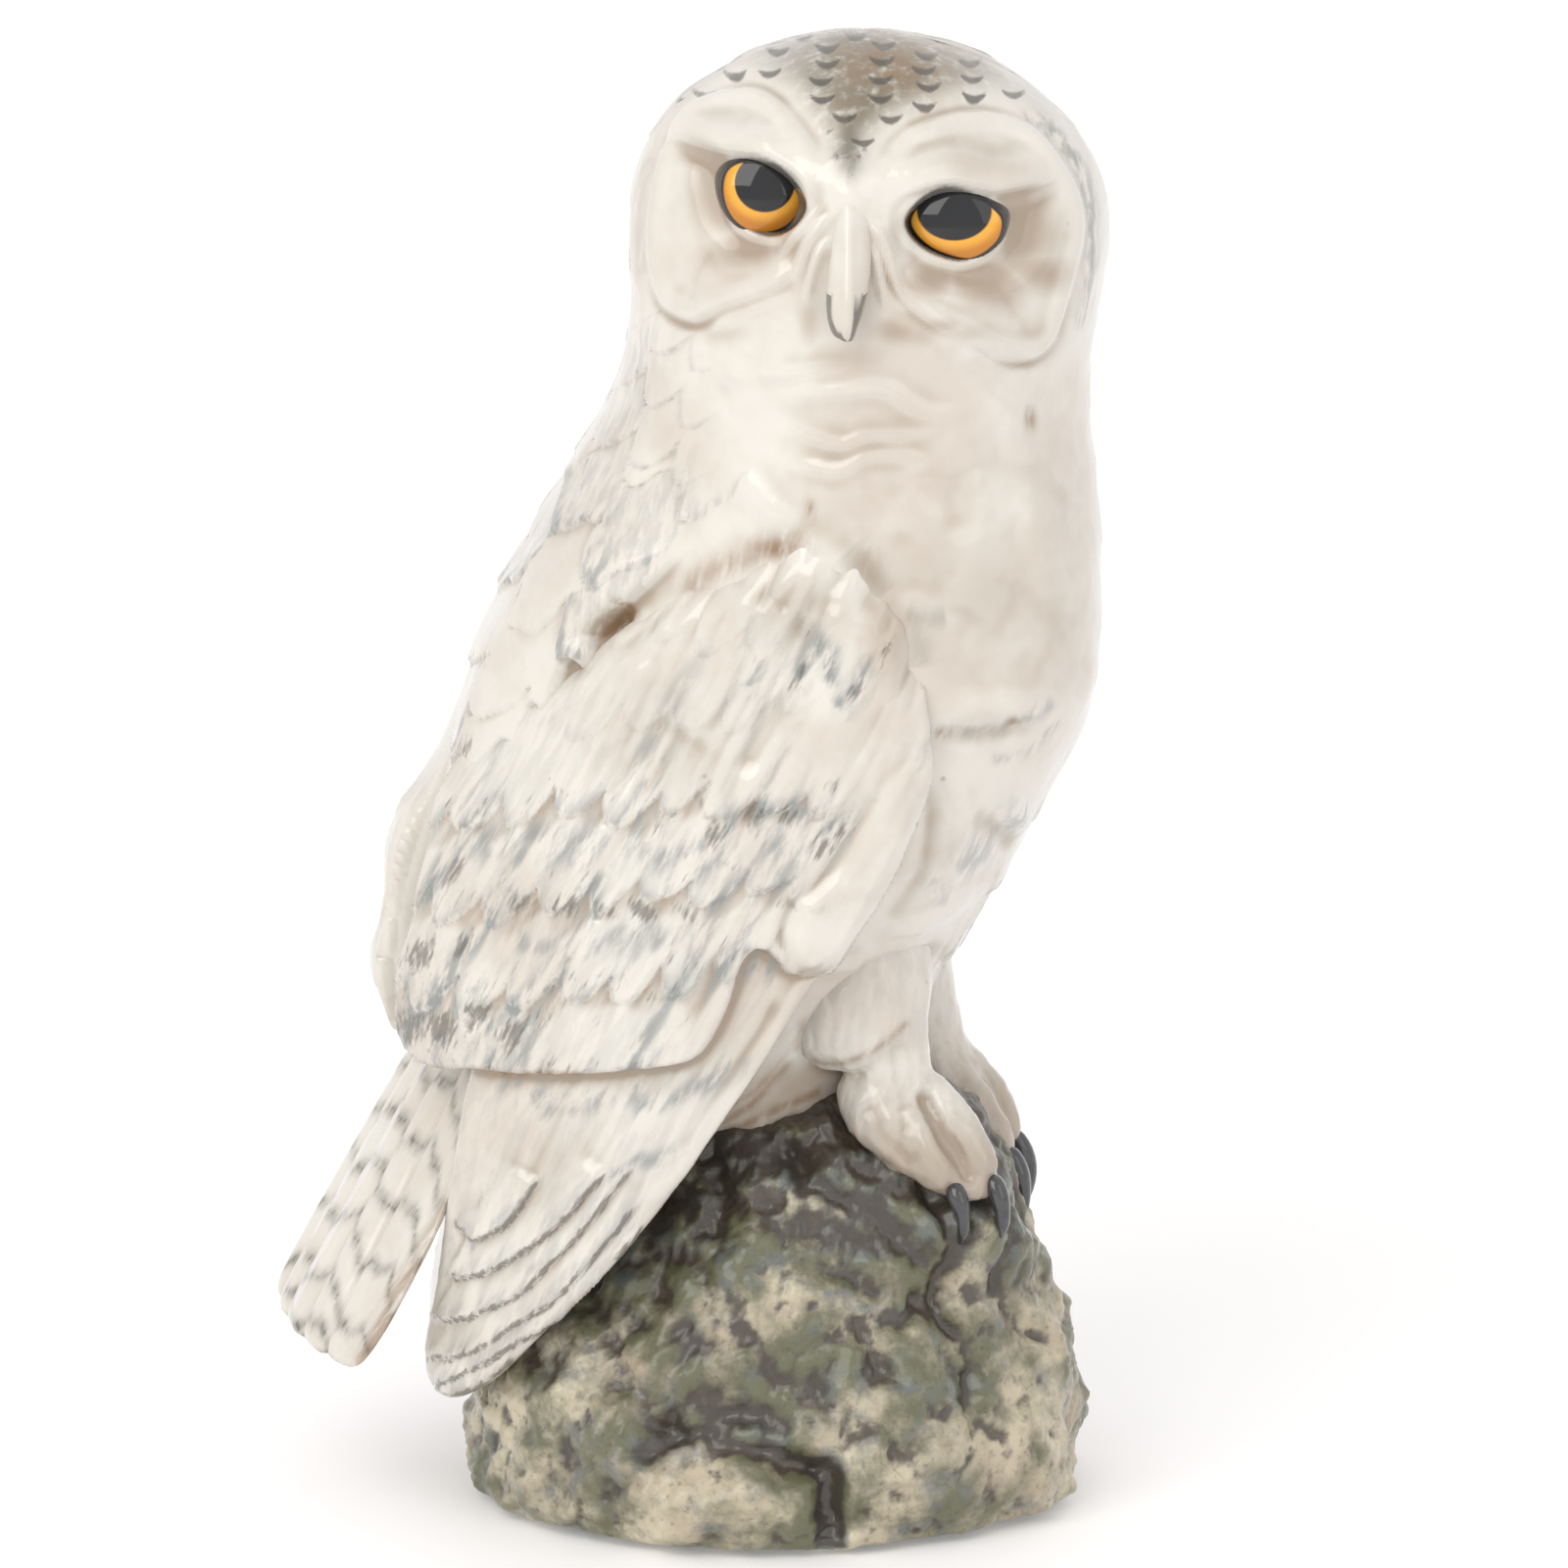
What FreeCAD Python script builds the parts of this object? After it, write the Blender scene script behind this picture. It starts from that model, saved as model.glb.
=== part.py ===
import FreeCAD
import Part
import Sketcher
import os

# A snowy owl standing on a rock, slip-cast in earthenware and glazed.
# The rock, the body and the head are thin cast shells, and the air inside them
# goes out through one hole under the rock.  Wings, tail, legs, talons, beak and
# eyes are stuck on with slip before firing, so each seat is cut to its neighbour.
#
# Frame: millimetres, +Z up, the origin in the middle of the rock's flat underside.
# The face looks along -Y, and the body is turned so that the breast points to +X.

doc = FreeCAD.newDocument("owl_figurine")
sheet = doc.addObject("Spreadsheet::Sheet", "Sizes")


# ---------------------------------------------------------------- the sheet

sizes = {
    "wall": 3.5,                  # cast thickness of the three shells
    "vent_radius": 5.5,           # hole under the rock, off centre, clear of the feet
    "vent_ahead": -6.0,
    "vent_side": 6.0,
    "throat_radius": 6.0,         # opening from the rock's hollow into the body's
    "throat_ahead": 2.0,
    "fissure_width": 3.0,         # crack in the front of the rock
    "fissure_height": 9.0,
    "fissure_depth": 4.0,
    "fissure_ahead": 7.0,
    "rock_front": -28.5,
    "wing_start_x": 12.0,         # top of the wing's axis
    "wing_start_z": 113.0,
    "wing_lean": 23.6,            # degrees that the wing's axis leans back
    "tail_start_x": -28.4,        # the tail's axis, inside the rump
    "tail_start_y": 2.8,
    "tail_start_z": 59.3,
    "tail_turn": 15.0,            # degrees, seen from above
    "tail_slope": 31.0,           # degrees that the tail stands away from plumb
    "eye_depth": 3.0,             # half the thickness of an eye's glass
    "eye_sink": 1.2,              # how far an eye's middle lies under the face
}

# Each row is one oval section: its level along the piece's axis, its middle (ahead,
# side), its half length and half width, and its turn in degrees about the axis.
sections = {
    "rock": [
        (0.0, 0.5, 0.0, 32.3, 27.6, 0),
        (3.0, 0.5, 0.0, 34.0, 29.2, 0),
        (12.0, 0.6, 0.0, 33.9, 28.4, 0),
        (22.0, 1.6, 0.0, 29.4, 25.2, 0),
        (32.0, 3.6, 0.0, 24.2, 20.8, 0),
        (40.0, 4.6, 0.0, 19.6, 16.4, 0),
        (46.0, 4.0, 0.0, 14.0, 11.4, 0),
    ],
    "torso": [
        (46.0, -6.0, 0.0, 17.0, 12.0, 4),
        (54.0, -9.8, 0.0, 24.6, 17.0, 4),
        (63.0, -7.3, 0.0, 28.8, 20.5, 3),
        (72.0, -5.0, 0.0, 31.6, 22.6, 0),
        (81.0, -2.2, 0.0, 33.8, 23.8, -5),
        (90.0, 1.7, 0.0, 35.0, 24.6, -10),
        (103.0, 4.3, 0.0, 33.2, 25.2, -15),
        (112.0, 6.6, -0.6, 30.4, 24.8, -18),
        (120.0, 8.1, -1.2, 26.7, 24.4, -18),
    ],
    "head": [
        (120.0, 8.1, -1.2, 26.7, 24.4, -18),
        (125.0, 9.0, -1.6, 25.6, 24.3, -14),
        (131.0, 9.9, -2.0, 25.2, 24.4, -6),
        (138.5, 10.7, -2.0, 25.7, 24.6, 0),
        (147.3, 10.7, -2.0, 25.4, 23.9, 0),
        (152.0, 10.7, -2.0, 23.9, 22.4, 0),
        (157.0, 10.5, -2.0, 20.3, 19.0, 0),
        (161.0, 10.3, -2.0, 15.2, 14.2, 0),
        (163.6, 10.1, -2.0, 9.4, 8.8, 0),
        (165.0, 10.0, -2.0, 3.4, 3.1, 0),
    ],
    "covert": [
        (1.0, -3.0, 17.5, 6.0, 5.5, -20),
        (10.0, -4.0, 18.0, 14.5, 8.6, -16),
        (27.0, -5.5, 18.4, 22.0, 9.6, -9),
        (40.0, -8.0, 17.6, 23.4, 9.2, -4),
        (55.0, -9.0, 16.4, 20.4, 8.4, 0),
        (69.0, -10.4, 15.2, 15.6, 6.6, 0),
    ],
    "far_covert": [
        (1.0, 9.0, 18.5, 6.0, 5.5, 20),
        (10.0, 7.0, 18.5, 15.5, 8.2, 14),
        (27.0, 1.5, 18.0, 24.0, 9.4, 7),
        (40.0, -4.0, 17.4, 25.0, 9.2, 3),
        (55.0, -7.4, 16.4, 21.6, 8.4, 0),
        (69.0, -10.4, 15.2, 15.6, 6.6, 0),
    ],
    "quill": [
        (48.0, -3.6, 17.6, 15.6, 4.6, 0),
        (68.0, -3.6, 17.4, 13.6, 4.2, 0),
        (81.0, -4.0, 16.8, 11.8, 3.7, 0),
        (90.0, -4.4, 16.4, 9.6, 3.3, 0),
        (99.0, -4.7, 16.0, 6.4, 2.8, 0),
        (106.0, -4.8, 15.6, 3.8, 2.0, 0),
        (110.0, -4.8, 15.3, 1.4, 1.0, 0),
    ],
    "tail": [
        (0.0, 0.0, 0.0, 10.0, 3.6, 0),
        (12.0, 0.0, 0.0, 12.2, 2.3, 0),
        (28.0, 0.0, 0.0, 13.2, 1.8, 0),
        (43.0, 0.0, 0.0, 13.0, 1.5, 0),
        (47.6, 0.0, 0.0, 9.0, 0.9, 0),
    ],
    "right_leg": [
        (62.0, 8.0, -11.0, 10.5, 8.6, 0),
        (55.0, 11.6, -11.5, 8.0, 7.0, 0),
        (50.0, 14.6, -11.5, 5.6, 5.2, 0),
        (44.0, 16.8, -12.0, 6.2, 5.8, 0),
        (38.0, 19.8, -12.2, 7.0, 5.8, 90),
        (33.4, 22.8, -12.4, 5.4, 4.0, 90),
    ],
    "left_leg": [
        (62.0, 9.0, 9.0, 10.5, 8.6, 0),
        (55.0, 12.6, 9.0, 8.0, 7.0, 0),
        (50.0, 16.0, 8.6, 5.6, 5.2, 0),
        (44.0, 18.2, 8.2, 6.2, 5.8, 0),
        (38.0, 21.4, 7.6, 7.0, 5.8, 90),
        (33.4, 24.4, 7.2, 5.4, 4.0, 90),
    ],
    "talon": [
        (36.5, 0.0, 0.0, 1.5, 1.4, 0),
        (33.6, 2.0, 0.0, 1.45, 1.3, 0),
        (30.6, 3.0, 0.0, 1.1, 0.95, 0),
        (27.4, 3.2, 0.0, 0.3, 0.25, 0),
    ],
    "beak": [
        (150.0, 8.9, -24.0, 2.4, 1.5, 90),
        (147.0, 8.8, -24.6, 3.4, 2.2, 90),
        (143.4, 8.6, -25.4, 3.6, 2.5, 90),
        (140.0, 8.4, -26.6, 2.8, 2.0, 90),
        (136.8, 8.2, -27.6, 0.9, 0.6, 90),
    ],
}
fields = ("level", "ahead", "side", "long", "wide", "turn")

# Middle of each eye on the face, and its half width and half height.
eyes = {
    "right_eye": (-1.0, -22.0, 151.6, 4.3, 4.1),
    "left_eye": (20.6, -24.2, 149.0, 5.2, 4.1),
}
eye_fields = ("x", "y", "z", "half_width", "half_height")

# Where each front talon starts, beside the toe that carries it.
talons = {
    "right_talons": [(21.6, -14.6), (22.0, -9.2)],
    "left_talons": [(23.4, 4.6), (22.8, 10.2)],
}


def fill_sheet():
    rows = dict(sizes)
    for piece, table in sections.items():
        for index, row in enumerate(table):
            for field, value in zip(fields, row):
                rows[f"{piece}_{field}_{index}"] = value
    for eye, row in eyes.items():
        for field, value in zip(eye_fields, row):
            rows[f"{eye}_{field}"] = value
    for group, places in talons.items():
        for index, (ahead, side) in enumerate(places):
            rows[f"{group}_ahead_{index}"] = ahead
            rows[f"{group}_side_{index}"] = side
    for line, (alias, value) in enumerate(rows.items(), start=1):
        sheet.set(f"A{line}", alias)
        sheet.set(f"B{line}", str(value))
        sheet.setAlias(f"B{line}", alias)
    doc.recompute()


# ------------------------------------------------------- lofts of oval sections

def plane_of(body, role):
    return [item for item in body.Origin.OriginFeatures if item.Role == role][0]


def oval_sketch(body, piece, index, inset, side_sign):
    """One oval on its own level, inset by a wall thickness for a hollow."""
    row = dict(zip(fields, sections[piece][index]))
    kind = "hollow" if inset else "skin"
    sketch = body.newObject("Sketcher::SketchObject", f"{body.Name}_{kind}_{index}")
    sketch.AttachmentSupport = (plane_of(body, "XY_Plane"), [""])
    sketch.MapMode = "FlatFace"
    turn = FreeCAD.Rotation(FreeCAD.Vector(0, 0, 1), 1)
    sketch.AttachmentOffset = FreeCAD.Placement(FreeCAD.Vector(), turn)
    outline = Part.Ellipse(FreeCAD.Vector(), row["long"], row["wide"])
    oval = sketch.addGeometry(outline, False)
    sketch.exposeInternalGeometry(oval)
    sketch.addConstraint(Sketcher.Constraint("Horizontal", 1))
    sketch.addConstraint(Sketcher.Constraint("Coincident", oval, 3, -1, 1))
    for axis, field in ((1, "long"), (2, "wide")):
        size = sketch.addConstraint(
            Sketcher.Constraint("Distance", axis, 1, axis, 2, 2 * row[field]))
        cell = f"Sizes.{piece}_{field}_{index}"
        wanted = f"2 * ({cell} - Sizes.wall)" if inset else f"2 * {cell}"
        sketch.setExpression(f"Constraints[{size}]", wanted)
    sign = "-" if side_sign < 0 else ""
    sketch.setExpression("AttachmentOffset.Base.x", f"Sizes.{piece}_ahead_{index}")
    sketch.setExpression("AttachmentOffset.Base.y", f"{sign}Sizes.{piece}_side_{index}")
    sketch.setExpression("AttachmentOffset.Base.z", f"Sizes.{piece}_level_{index}")
    sketch.setExpression("AttachmentOffset.Rotation.Angle",
                         f"{sign}Sizes.{piece}_turn_{index}")
    return sketch


def oval_loft(body, piece, rows=None, inset=False, side_sign=1):
    """Loft through the ovals of a piece, added to the body."""
    rows = rows or range(len(sections[piece]))
    ovals = [oval_sketch(body, piece, index, inset, side_sign) for index in rows]
    loft = body.newObject("PartDesign::AdditiveLoft", f"{body.Name}_{piece}_loft")
    loft.Profile = ovals[0]
    loft.Sections = ovals[1:]
    return loft


def form(name, piece, **options):
    body = doc.addObject("PartDesign::Body", name)
    oval_loft(body, piece, **options)
    return body


def cut(name, base, tools):
    """Base less each tool in turn; the last result carries the name."""
    for index, tool in enumerate(tools):
        result = doc.addObject("Part::Cut", f"{name}_cut_{index}")
        result.Base = base
        result.Tool = tool
        base = result
    base.Label = name
    return base


def place(item, x, y, z, yaw="0", pitch="0", roll="0"):
    """Bind a whole placement: where the piece's own frame stands and how it is turned."""
    where = f"create(<<vector>>; {x}; {y}; {z})"
    turned = f"create(<<rotation>>; {yaw}; {pitch}; {roll})"
    item.setExpression("Placement", f"create(<<placement>>; {where}; {turned})")


def upright_cylinder(name, radius, x, y, bottom, top):
    post = doc.addObject("Part::Cylinder", name)
    post.setExpression("Radius", radius)
    post.setExpression("Height", f"{top} - ({bottom})")
    place(post, x, y, bottom)
    return post


# ------------------------------------------------------------ rock, body, head

def make_shells():
    """Outer forms of the three castings; each is also the tool that seats its neighbours."""
    return form("rock_form", "rock"), form("torso_form", "torso"), form("head_form", "head")


def make_rock(rock_form):
    # the hollow stops short of the underside and of the top
    hollow = form("rock_hollow", "rock", rows=range(1, 6), inset=True)
    vent = upright_cylinder("vent", "Sizes.vent_radius", "Sizes.vent_ahead",
                            "Sizes.vent_side", "-1", "Sizes.rock_level_1 + 1")
    throat = upright_cylinder("rock_throat", "Sizes.throat_radius", "Sizes.throat_ahead",
                              "0", "Sizes.rock_level_5 - 1", "Sizes.rock_level_6 + 1")
    fissure = doc.addObject("Part::Box", "fissure")
    fissure.setExpression("Length", "Sizes.fissure_width")
    fissure.setExpression("Width", "Sizes.fissure_depth + 3")
    fissure.setExpression("Height", "Sizes.fissure_height + 1")
    place(fissure, "Sizes.fissure_ahead - Sizes.fissure_width / 2",
          "Sizes.rock_front - 3", "-1")
    return cut("rock_base", rock_form, [hollow, vent, throat, fissure])


def make_torso(torso_form):
    last = len(sections["torso"]) - 1
    hollow = form("torso_hollow", "torso", rows=range(1, last + 1), inset=True)
    throat = upright_cylinder("torso_throat", "Sizes.throat_radius", "Sizes.throat_ahead",
                              "0", "Sizes.torso_level_0 - 1", "Sizes.torso_level_1 + 1")
    return cut("torso", torso_form, [hollow, throat])


def make_eye(name):
    eye = doc.addObject("Part::Ellipsoid", name)
    eye.setExpression("Radius1", f"Sizes.{name}_half_height")
    eye.setExpression("Radius2", f"Sizes.{name}_half_width")
    eye.setExpression("Radius3", "Sizes.eye_depth")
    place(eye, f"Sizes.{name}_x", f"Sizes.{name}_y + Sizes.eye_sink", f"Sizes.{name}_z")
    return eye


def make_head(head_form, eye_solids):
    last = len(sections["head"]) - 1
    hollow = form("head_hollow", "head", rows=range(0, last - 1), inset=True)
    return cut("head", head_form, [hollow] + eye_solids)


# ------------------------------------------------------- pieces stuck on with slip

def make_wing(name, coverts, side_sign, neighbours):
    """Coverts and flight feathers; the axis runs from the shoulder down to the tip."""
    blank = doc.addObject("PartDesign::Body", f"{name}_blank")
    oval_loft(blank, coverts, side_sign=side_sign)
    oval_loft(blank, "quill", side_sign=side_sign)
    place(blank, "Sizes.wing_start_x", "0", "Sizes.wing_start_z",
          pitch="Sizes.wing_lean", roll="180")
    return cut(name, blank, neighbours)


def make_tail(neighbours):
    """A flat fan of feathers; local X is its width and local Z runs down to its end."""
    blank = form("tail_blank", "tail")
    place(blank, "Sizes.tail_start_x", "Sizes.tail_start_y", "Sizes.tail_start_z",
          yaw="Sizes.tail_turn + 90", roll="180 + Sizes.tail_slope")
    return cut("tail", blank, neighbours)


def make_leg(name, neighbours):
    return cut(name, form(f"{name}_blank", name), neighbours)


def make_talons(name, neighbours):
    """The two front talons of one foot, as one group of separate solids."""
    claws = []
    for index in range(len(talons[name])):
        claw = form(f"{name}_blank_{index}", "talon")
        place(claw, f"Sizes.{name}_ahead_{index}", f"Sizes.{name}_side_{index}", "0")
        claws.append(cut(f"{name}_{index}", claw, neighbours))
    group = doc.addObject("Part::Compound", f"{name}_group")
    group.Links = claws
    group.Label = name
    return group


def build():
    fill_sheet()
    rock_form, torso_form, head_form = make_shells()
    eye_solids = [make_eye(name) for name in eyes]
    pieces = [make_rock(rock_form), make_torso(torso_form), make_head(head_form, eye_solids)]
    pieces += eye_solids
    pieces.append(cut("beak", form("beak_blank", "beak"), [head_form]))
    seats = [torso_form, head_form, rock_form]
    pieces.append(make_wing("right_wing", "covert", 1, seats))
    pieces.append(make_wing("left_wing", "far_covert", -1, seats))
    pieces.append(make_tail([torso_form, rock_form]))
    for side in ("right", "left"):
        leg = make_leg(f"{side}_leg", [torso_form, rock_form])
        pieces += [leg, make_talons(f"{side}_talons", [leg, rock_form])]
    return pieces


def check(pieces):
    for item in doc.Objects:
        bad = [word for word in item.State if word in ("Invalid", "Error")]
        if bad:
            raise RuntimeError(f"{item.Name} ({item.Label}) did not recompute: {bad}")
    for piece in pieces:
        shape = piece.Shape
        if shape.isNull() or not shape.isValid() or not shape.Solids:
            raise RuntimeError(f"{piece.Label} has no valid solid")


def write(pieces):
    os.makedirs("parts", exist_ok=True)
    for piece in pieces:
        box = piece.Shape.BoundBox
        print(f"{piece.Label:14s} {len(piece.Shape.Solids)} solid(s) "
              f"{piece.Shape.Volume:9.0f} mm3  x {box.XMin:6.1f} {box.XMax:6.1f}  "
              f"y {box.YMin:6.1f} {box.YMax:6.1f}  z {box.ZMin:6.1f} {box.ZMax:6.1f}")
        piece.Shape.exportStep(f"parts/{piece.Label}.step")


all_pieces = build()
doc.recompute()
check(all_pieces)
write(all_pieces)
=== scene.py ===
import math

import bmesh
import bpy
import numpy as np
from mathutils import Matrix, Vector, noise


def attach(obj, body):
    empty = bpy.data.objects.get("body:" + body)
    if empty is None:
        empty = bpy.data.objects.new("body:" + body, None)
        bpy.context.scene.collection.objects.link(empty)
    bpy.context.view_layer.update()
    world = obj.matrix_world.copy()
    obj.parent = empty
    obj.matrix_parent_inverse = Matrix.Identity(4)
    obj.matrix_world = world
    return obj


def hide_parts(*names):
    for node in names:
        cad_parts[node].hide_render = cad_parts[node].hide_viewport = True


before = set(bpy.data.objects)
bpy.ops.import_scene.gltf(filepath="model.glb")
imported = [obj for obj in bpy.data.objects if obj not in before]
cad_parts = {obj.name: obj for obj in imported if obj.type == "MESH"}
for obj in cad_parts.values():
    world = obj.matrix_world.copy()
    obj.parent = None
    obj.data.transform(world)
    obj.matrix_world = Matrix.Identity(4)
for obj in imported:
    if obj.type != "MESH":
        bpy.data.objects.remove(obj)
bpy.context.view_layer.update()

# A hand-painted, glazed owl on a rock. Shapes are worked in millimetres and go down to
# metres when a piece is finished.
mm = 0.001

studio = {
    "tilt": 15,              # degrees the camera looks down
    "distance": 1500,
    "lookX": 1.6,
    "lookHeight": 79.7,
    "frameWidth": 171.2,     # what the camera takes in at the figure
    "floorSize": 6,          # metres
    "worldLight": 0.95,
    "keyLight": 6,
    "fillLight": 1.6,
}


# points, lines and outlines are numpy arrays of millimetres, and this is where a point stands
# as seen from the front and a little above: u right, w up
def faceOn(co):
    tilt = math.radians(studio["tilt"])
    off = co - np.array([studio["lookX"], 0.0, studio["lookHeight"]])
    depth = studio["distance"] + off[:, 1] * math.cos(tilt) - off[:, 2] * math.sin(tilt)
    scale = studio["distance"] / depth
    u = studio["lookX"] + off[:, 0] * scale
    rise = off[:, 1] * math.sin(tilt) + off[:, 2] * math.cos(tilt)
    return u, studio["lookHeight"] * math.cos(tilt) + rise * scale


# the point at depth y that is seen at (u, w)
def behindView(u, w, y):
    tilt = math.radians(studio["tilt"])
    near = studio["distance"]
    x, z = u, (w - y * math.sin(tilt)) / math.cos(tilt)
    for again in range(3):
        depth = near + y * math.cos(tilt) - (z - studio["lookHeight"]) * math.sin(tilt)
        scale = depth / near
        x = studio["lookX"] + (u - studio["lookX"]) * scale
        rise = (w - studio["lookHeight"] * math.cos(tilt)) * scale
        z = studio["lookHeight"] + (rise - y * math.sin(tilt)) / math.cos(tilt)
    return Vector((x, y, z))


def ease(low, high, value):
    t = np.clip((value - low) / (high - low), 0.0, 1.0)
    return t * t * (3.0 - 2.0 * t)


def hump(distance, reach):
    return np.exp(-(distance / reach) ** 2)


# a smooth run through a few points
def smoothRun(corners, closed=False, steps=6):
    p = np.array(corners, float)
    ring = np.vstack([p[-1:], p, p[:2]]) if closed else np.vstack([2 * p[0] - p[1], p, 2 * p[-1] - p[-2]])
    run = []
    for a, b, c, d in zip(ring[:-3], ring[1:-2], ring[2:-1], ring[3:]):
        for t in np.arange(steps) / steps:
            run.append(0.5 * (2 * b + (c - a) * t + (2 * a - 5 * b + 4 * c - d) * t * t
                              + (3 * b - a - 3 * c + d) * t ** 3))
    if not closed:
        run.append(p[-1])
    return np.array(run)


# distance to a run, which side of it (left of travel is positive), and how far along, 0 to 1
def alongRun(u, w, run):
    best = np.full(u.shape, 1e9)
    side = np.zeros(u.shape)
    along = np.zeros(u.shape)
    steps = np.diff(run, axis=0)
    lengths = np.hypot(steps[:, 0], steps[:, 1])
    starts = np.concatenate([[0.0], np.cumsum(lengths)])
    for (ax, ay), (dx, dy), length, start in zip(run[:-1], steps, lengths, starts):
        t = np.clip(((u - ax) * dx + (w - ay) * dy) / max(length * length, 1e-9), 0.0, 1.0)
        gap = np.hypot(u - ax - t * dx, w - ay - t * dy)
        nearer = gap < best
        best = np.where(nearer, gap, best)
        side = np.where(nearer, np.sign(dx * (w - ay) - dy * (u - ax)), side)
        along = np.where(nearer, (start + t * length) / starts[-1], along)
    return best, side, along


# how far inside a closed outline a point is; outside is negative
def insideRun(u, w, run):
    ring = np.vstack([run, run[:1]])
    gap = alongRun(u, w, ring)[0]
    inside = np.zeros(u.shape, bool)
    for (ax, ay), (bx, by) in zip(ring[:-1], ring[1:]):
        if ay != by:
            inside ^= ((ay > w) != (by > w)) & (u < (bx - ax) * (w - ay) / (by - ay) + ax)
    return np.where(inside, gap, -gap)


def fadedEnds(along, fade):
    return ease(0, fade, along) * ease(1, 1 - fade, along)


# a soft ridge (or groove, with a negative height) along a few points, fading at its ends
def ridge(u, w, line, reach, height, fade=0.12):
    gap, _, along = alongRun(u, w, smoothRun(line))
    return height * hump(gap, reach) * fadedEnds(along, fade)


# one edge lying over what is past it: high on the left of travel, gone on the right
def lap(u, w, line, height, reach, crisp=0.35, fade=0.1):
    gap, side, along = alongRun(u, w, smoothRun(line))
    signed = gap * side
    body = 1 - ease(0, reach, signed)
    return height * body * ease(-crisp, crisp, signed) * fadedEnds(along, fade)


def roughness(co, size, octaves=3, seed=0.0):
    lift = Vector((seed, seed * 1.7, -seed))
    return np.array([noise.fractal(Vector(p) / size + lift, 0.8, 2.1, octaves) for p in co])


def show(name, mesh):
    piece = bpy.data.objects.new(name, mesh)
    bpy.context.scene.collection.objects.link(piece)
    return piece


def meshFrom(bm, name):
    mesh = bpy.data.meshes.new(name)
    bm.to_mesh(mesh)
    bm.free()
    return mesh


# circles placed one after another and joined by extruding
def stack(places, segments):
    bm = bmesh.new()
    bmesh.ops.create_circle(bm, cap_ends=True, radius=1.0, segments=segments)
    face = bm.faces[:][0]
    last = Matrix.Identity(4)
    for index, here in enumerate(places):
        if index:
            old = face
            grown = bmesh.ops.extrude_face_region(bm, geom=[old])["geom"]
            face = [part for part in grown if isinstance(part, bmesh.types.BMFace)][0]
            if index > 1 and old.is_valid:
                bmesh.ops.delete(bm, geom=[old], context="FACES_ONLY")
        bmesh.ops.transform(bm, matrix=here @ last.inverted(), verts=list(face.verts))
        last = here
    bmesh.ops.recalc_face_normals(bm, faces=bm.faces[:])
    return bm


# level oval rings: rows of (level, ahead, side, long, wide, turn)
def ringStack(rows, segments, lift=1.0):
    places = []
    for level, ahead, side, long, wide, turn in rows:
        here = Matrix.Translation((ahead, side, level)) @ Matrix.Rotation(math.radians(turn), 4, "Z")
        places.append(here @ Matrix.Diagonal((long * lift, wide * lift, 1, 1)))
    return stack(places, segments)


# rings square to a path, for toes and claws
def limb(path, radii, segments=12):
    run = [Vector(point) for point in path]
    places = []
    for index, (point, radius) in enumerate(zip(run, radii)):
        heading = run[min(index + 1, len(run) - 1)] - run[max(index - 1, 0)]
        turn = Vector((0, 0, 1)).rotation_difference(heading).to_matrix().to_4x4()
        places.append(Matrix.Translation(point) @ turn @ Matrix.Diagonal((radius, radius, 1, 1)))
    return stack(places, segments)


def joined(name, forms):
    bm = bmesh.new()
    for form in forms:
        mesh = meshFrom(form, "part")
        bm.from_mesh(mesh)
        bpy.data.meshes.remove(mesh)
    return show(name, meshFrom(bm, name))


def applyAll(piece):
    graph = bpy.context.evaluated_depsgraph_get()
    graph.update()
    solid = bpy.data.meshes.new_from_object(piece.evaluated_get(graph))
    piece.modifiers.clear()
    piece.data = solid
    return piece


def subdivided(piece, levels):
    step = piece.modifiers.new("round", "SUBSURF")
    step.levels = step.render_levels = levels
    return applyAll(piece)


def remeshed(piece, size, smoothing):
    step = piece.modifiers.new("clay", "REMESH")
    step.mode = "VOXEL"
    step.voxel_size = size
    calm = piece.modifiers.new("calm", "SMOOTH")
    calm.factor = 0.5
    calm.iterations = smoothing
    return applyAll(piece)


def points(mesh):
    co = np.empty(len(mesh.vertices) * 3)
    mesh.vertices.foreach_get("co", co)
    return co.reshape(-1, 3)


def directions(mesh):
    out = np.empty(len(mesh.vertices) * 3)
    mesh.vertex_normals.foreach_get("vector", out)
    return out.reshape(-1, 3)


def place(mesh, co):
    mesh.vertices.foreach_set("co", co.ravel())
    mesh.update()


def swell(mesh, height):
    place(mesh, points(mesh) + directions(mesh) * height[:, None])


def paint(mesh, layer, values):
    made = mesh.attributes.get(layer) or mesh.attributes.new(layer, "FLOAT", "POINT")
    made.data.foreach_set("value", np.asarray(values, np.float32))


def paintAll(mesh, **layers):
    for layer, values in layers.items():
        paint(mesh, layer, values)


# how deep in a hollow each point is, from the neighbours' mean: positive in creases. The materials darken
# creases with it as painted shade
def creases(mesh, rounds):
    co = points(mesh)
    ends = np.empty(len(mesh.edges) * 2, np.int64)
    mesh.edges.foreach_get("vertices", ends)
    a, b = ends[0::2], ends[1::2]
    count = np.bincount(a, minlength=len(co)) + np.bincount(b, minlength=len(co))
    soft = co.copy()
    for again in range(rounds):
        total = np.stack([np.bincount(a, soft[b, k], len(co)) + np.bincount(b, soft[a, k], len(co))
                          for k in range(3)], axis=1)
        soft = total / count[:, None]
    return ((soft - co) * directions(mesh)).sum(1)


def finished(piece, materialName, slot, *nodes):
    piece.data.transform(Matrix.Scale(mm, 4))
    piece.data.polygons.foreach_set("use_smooth", [True] * len(piece.data.polygons))
    piece.data.materials.clear()
    piece.data.materials.append(bpy.data.materials[materialName])
    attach(piece, "root")
    if nodes:
        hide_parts(*nodes)
    return piece


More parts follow.
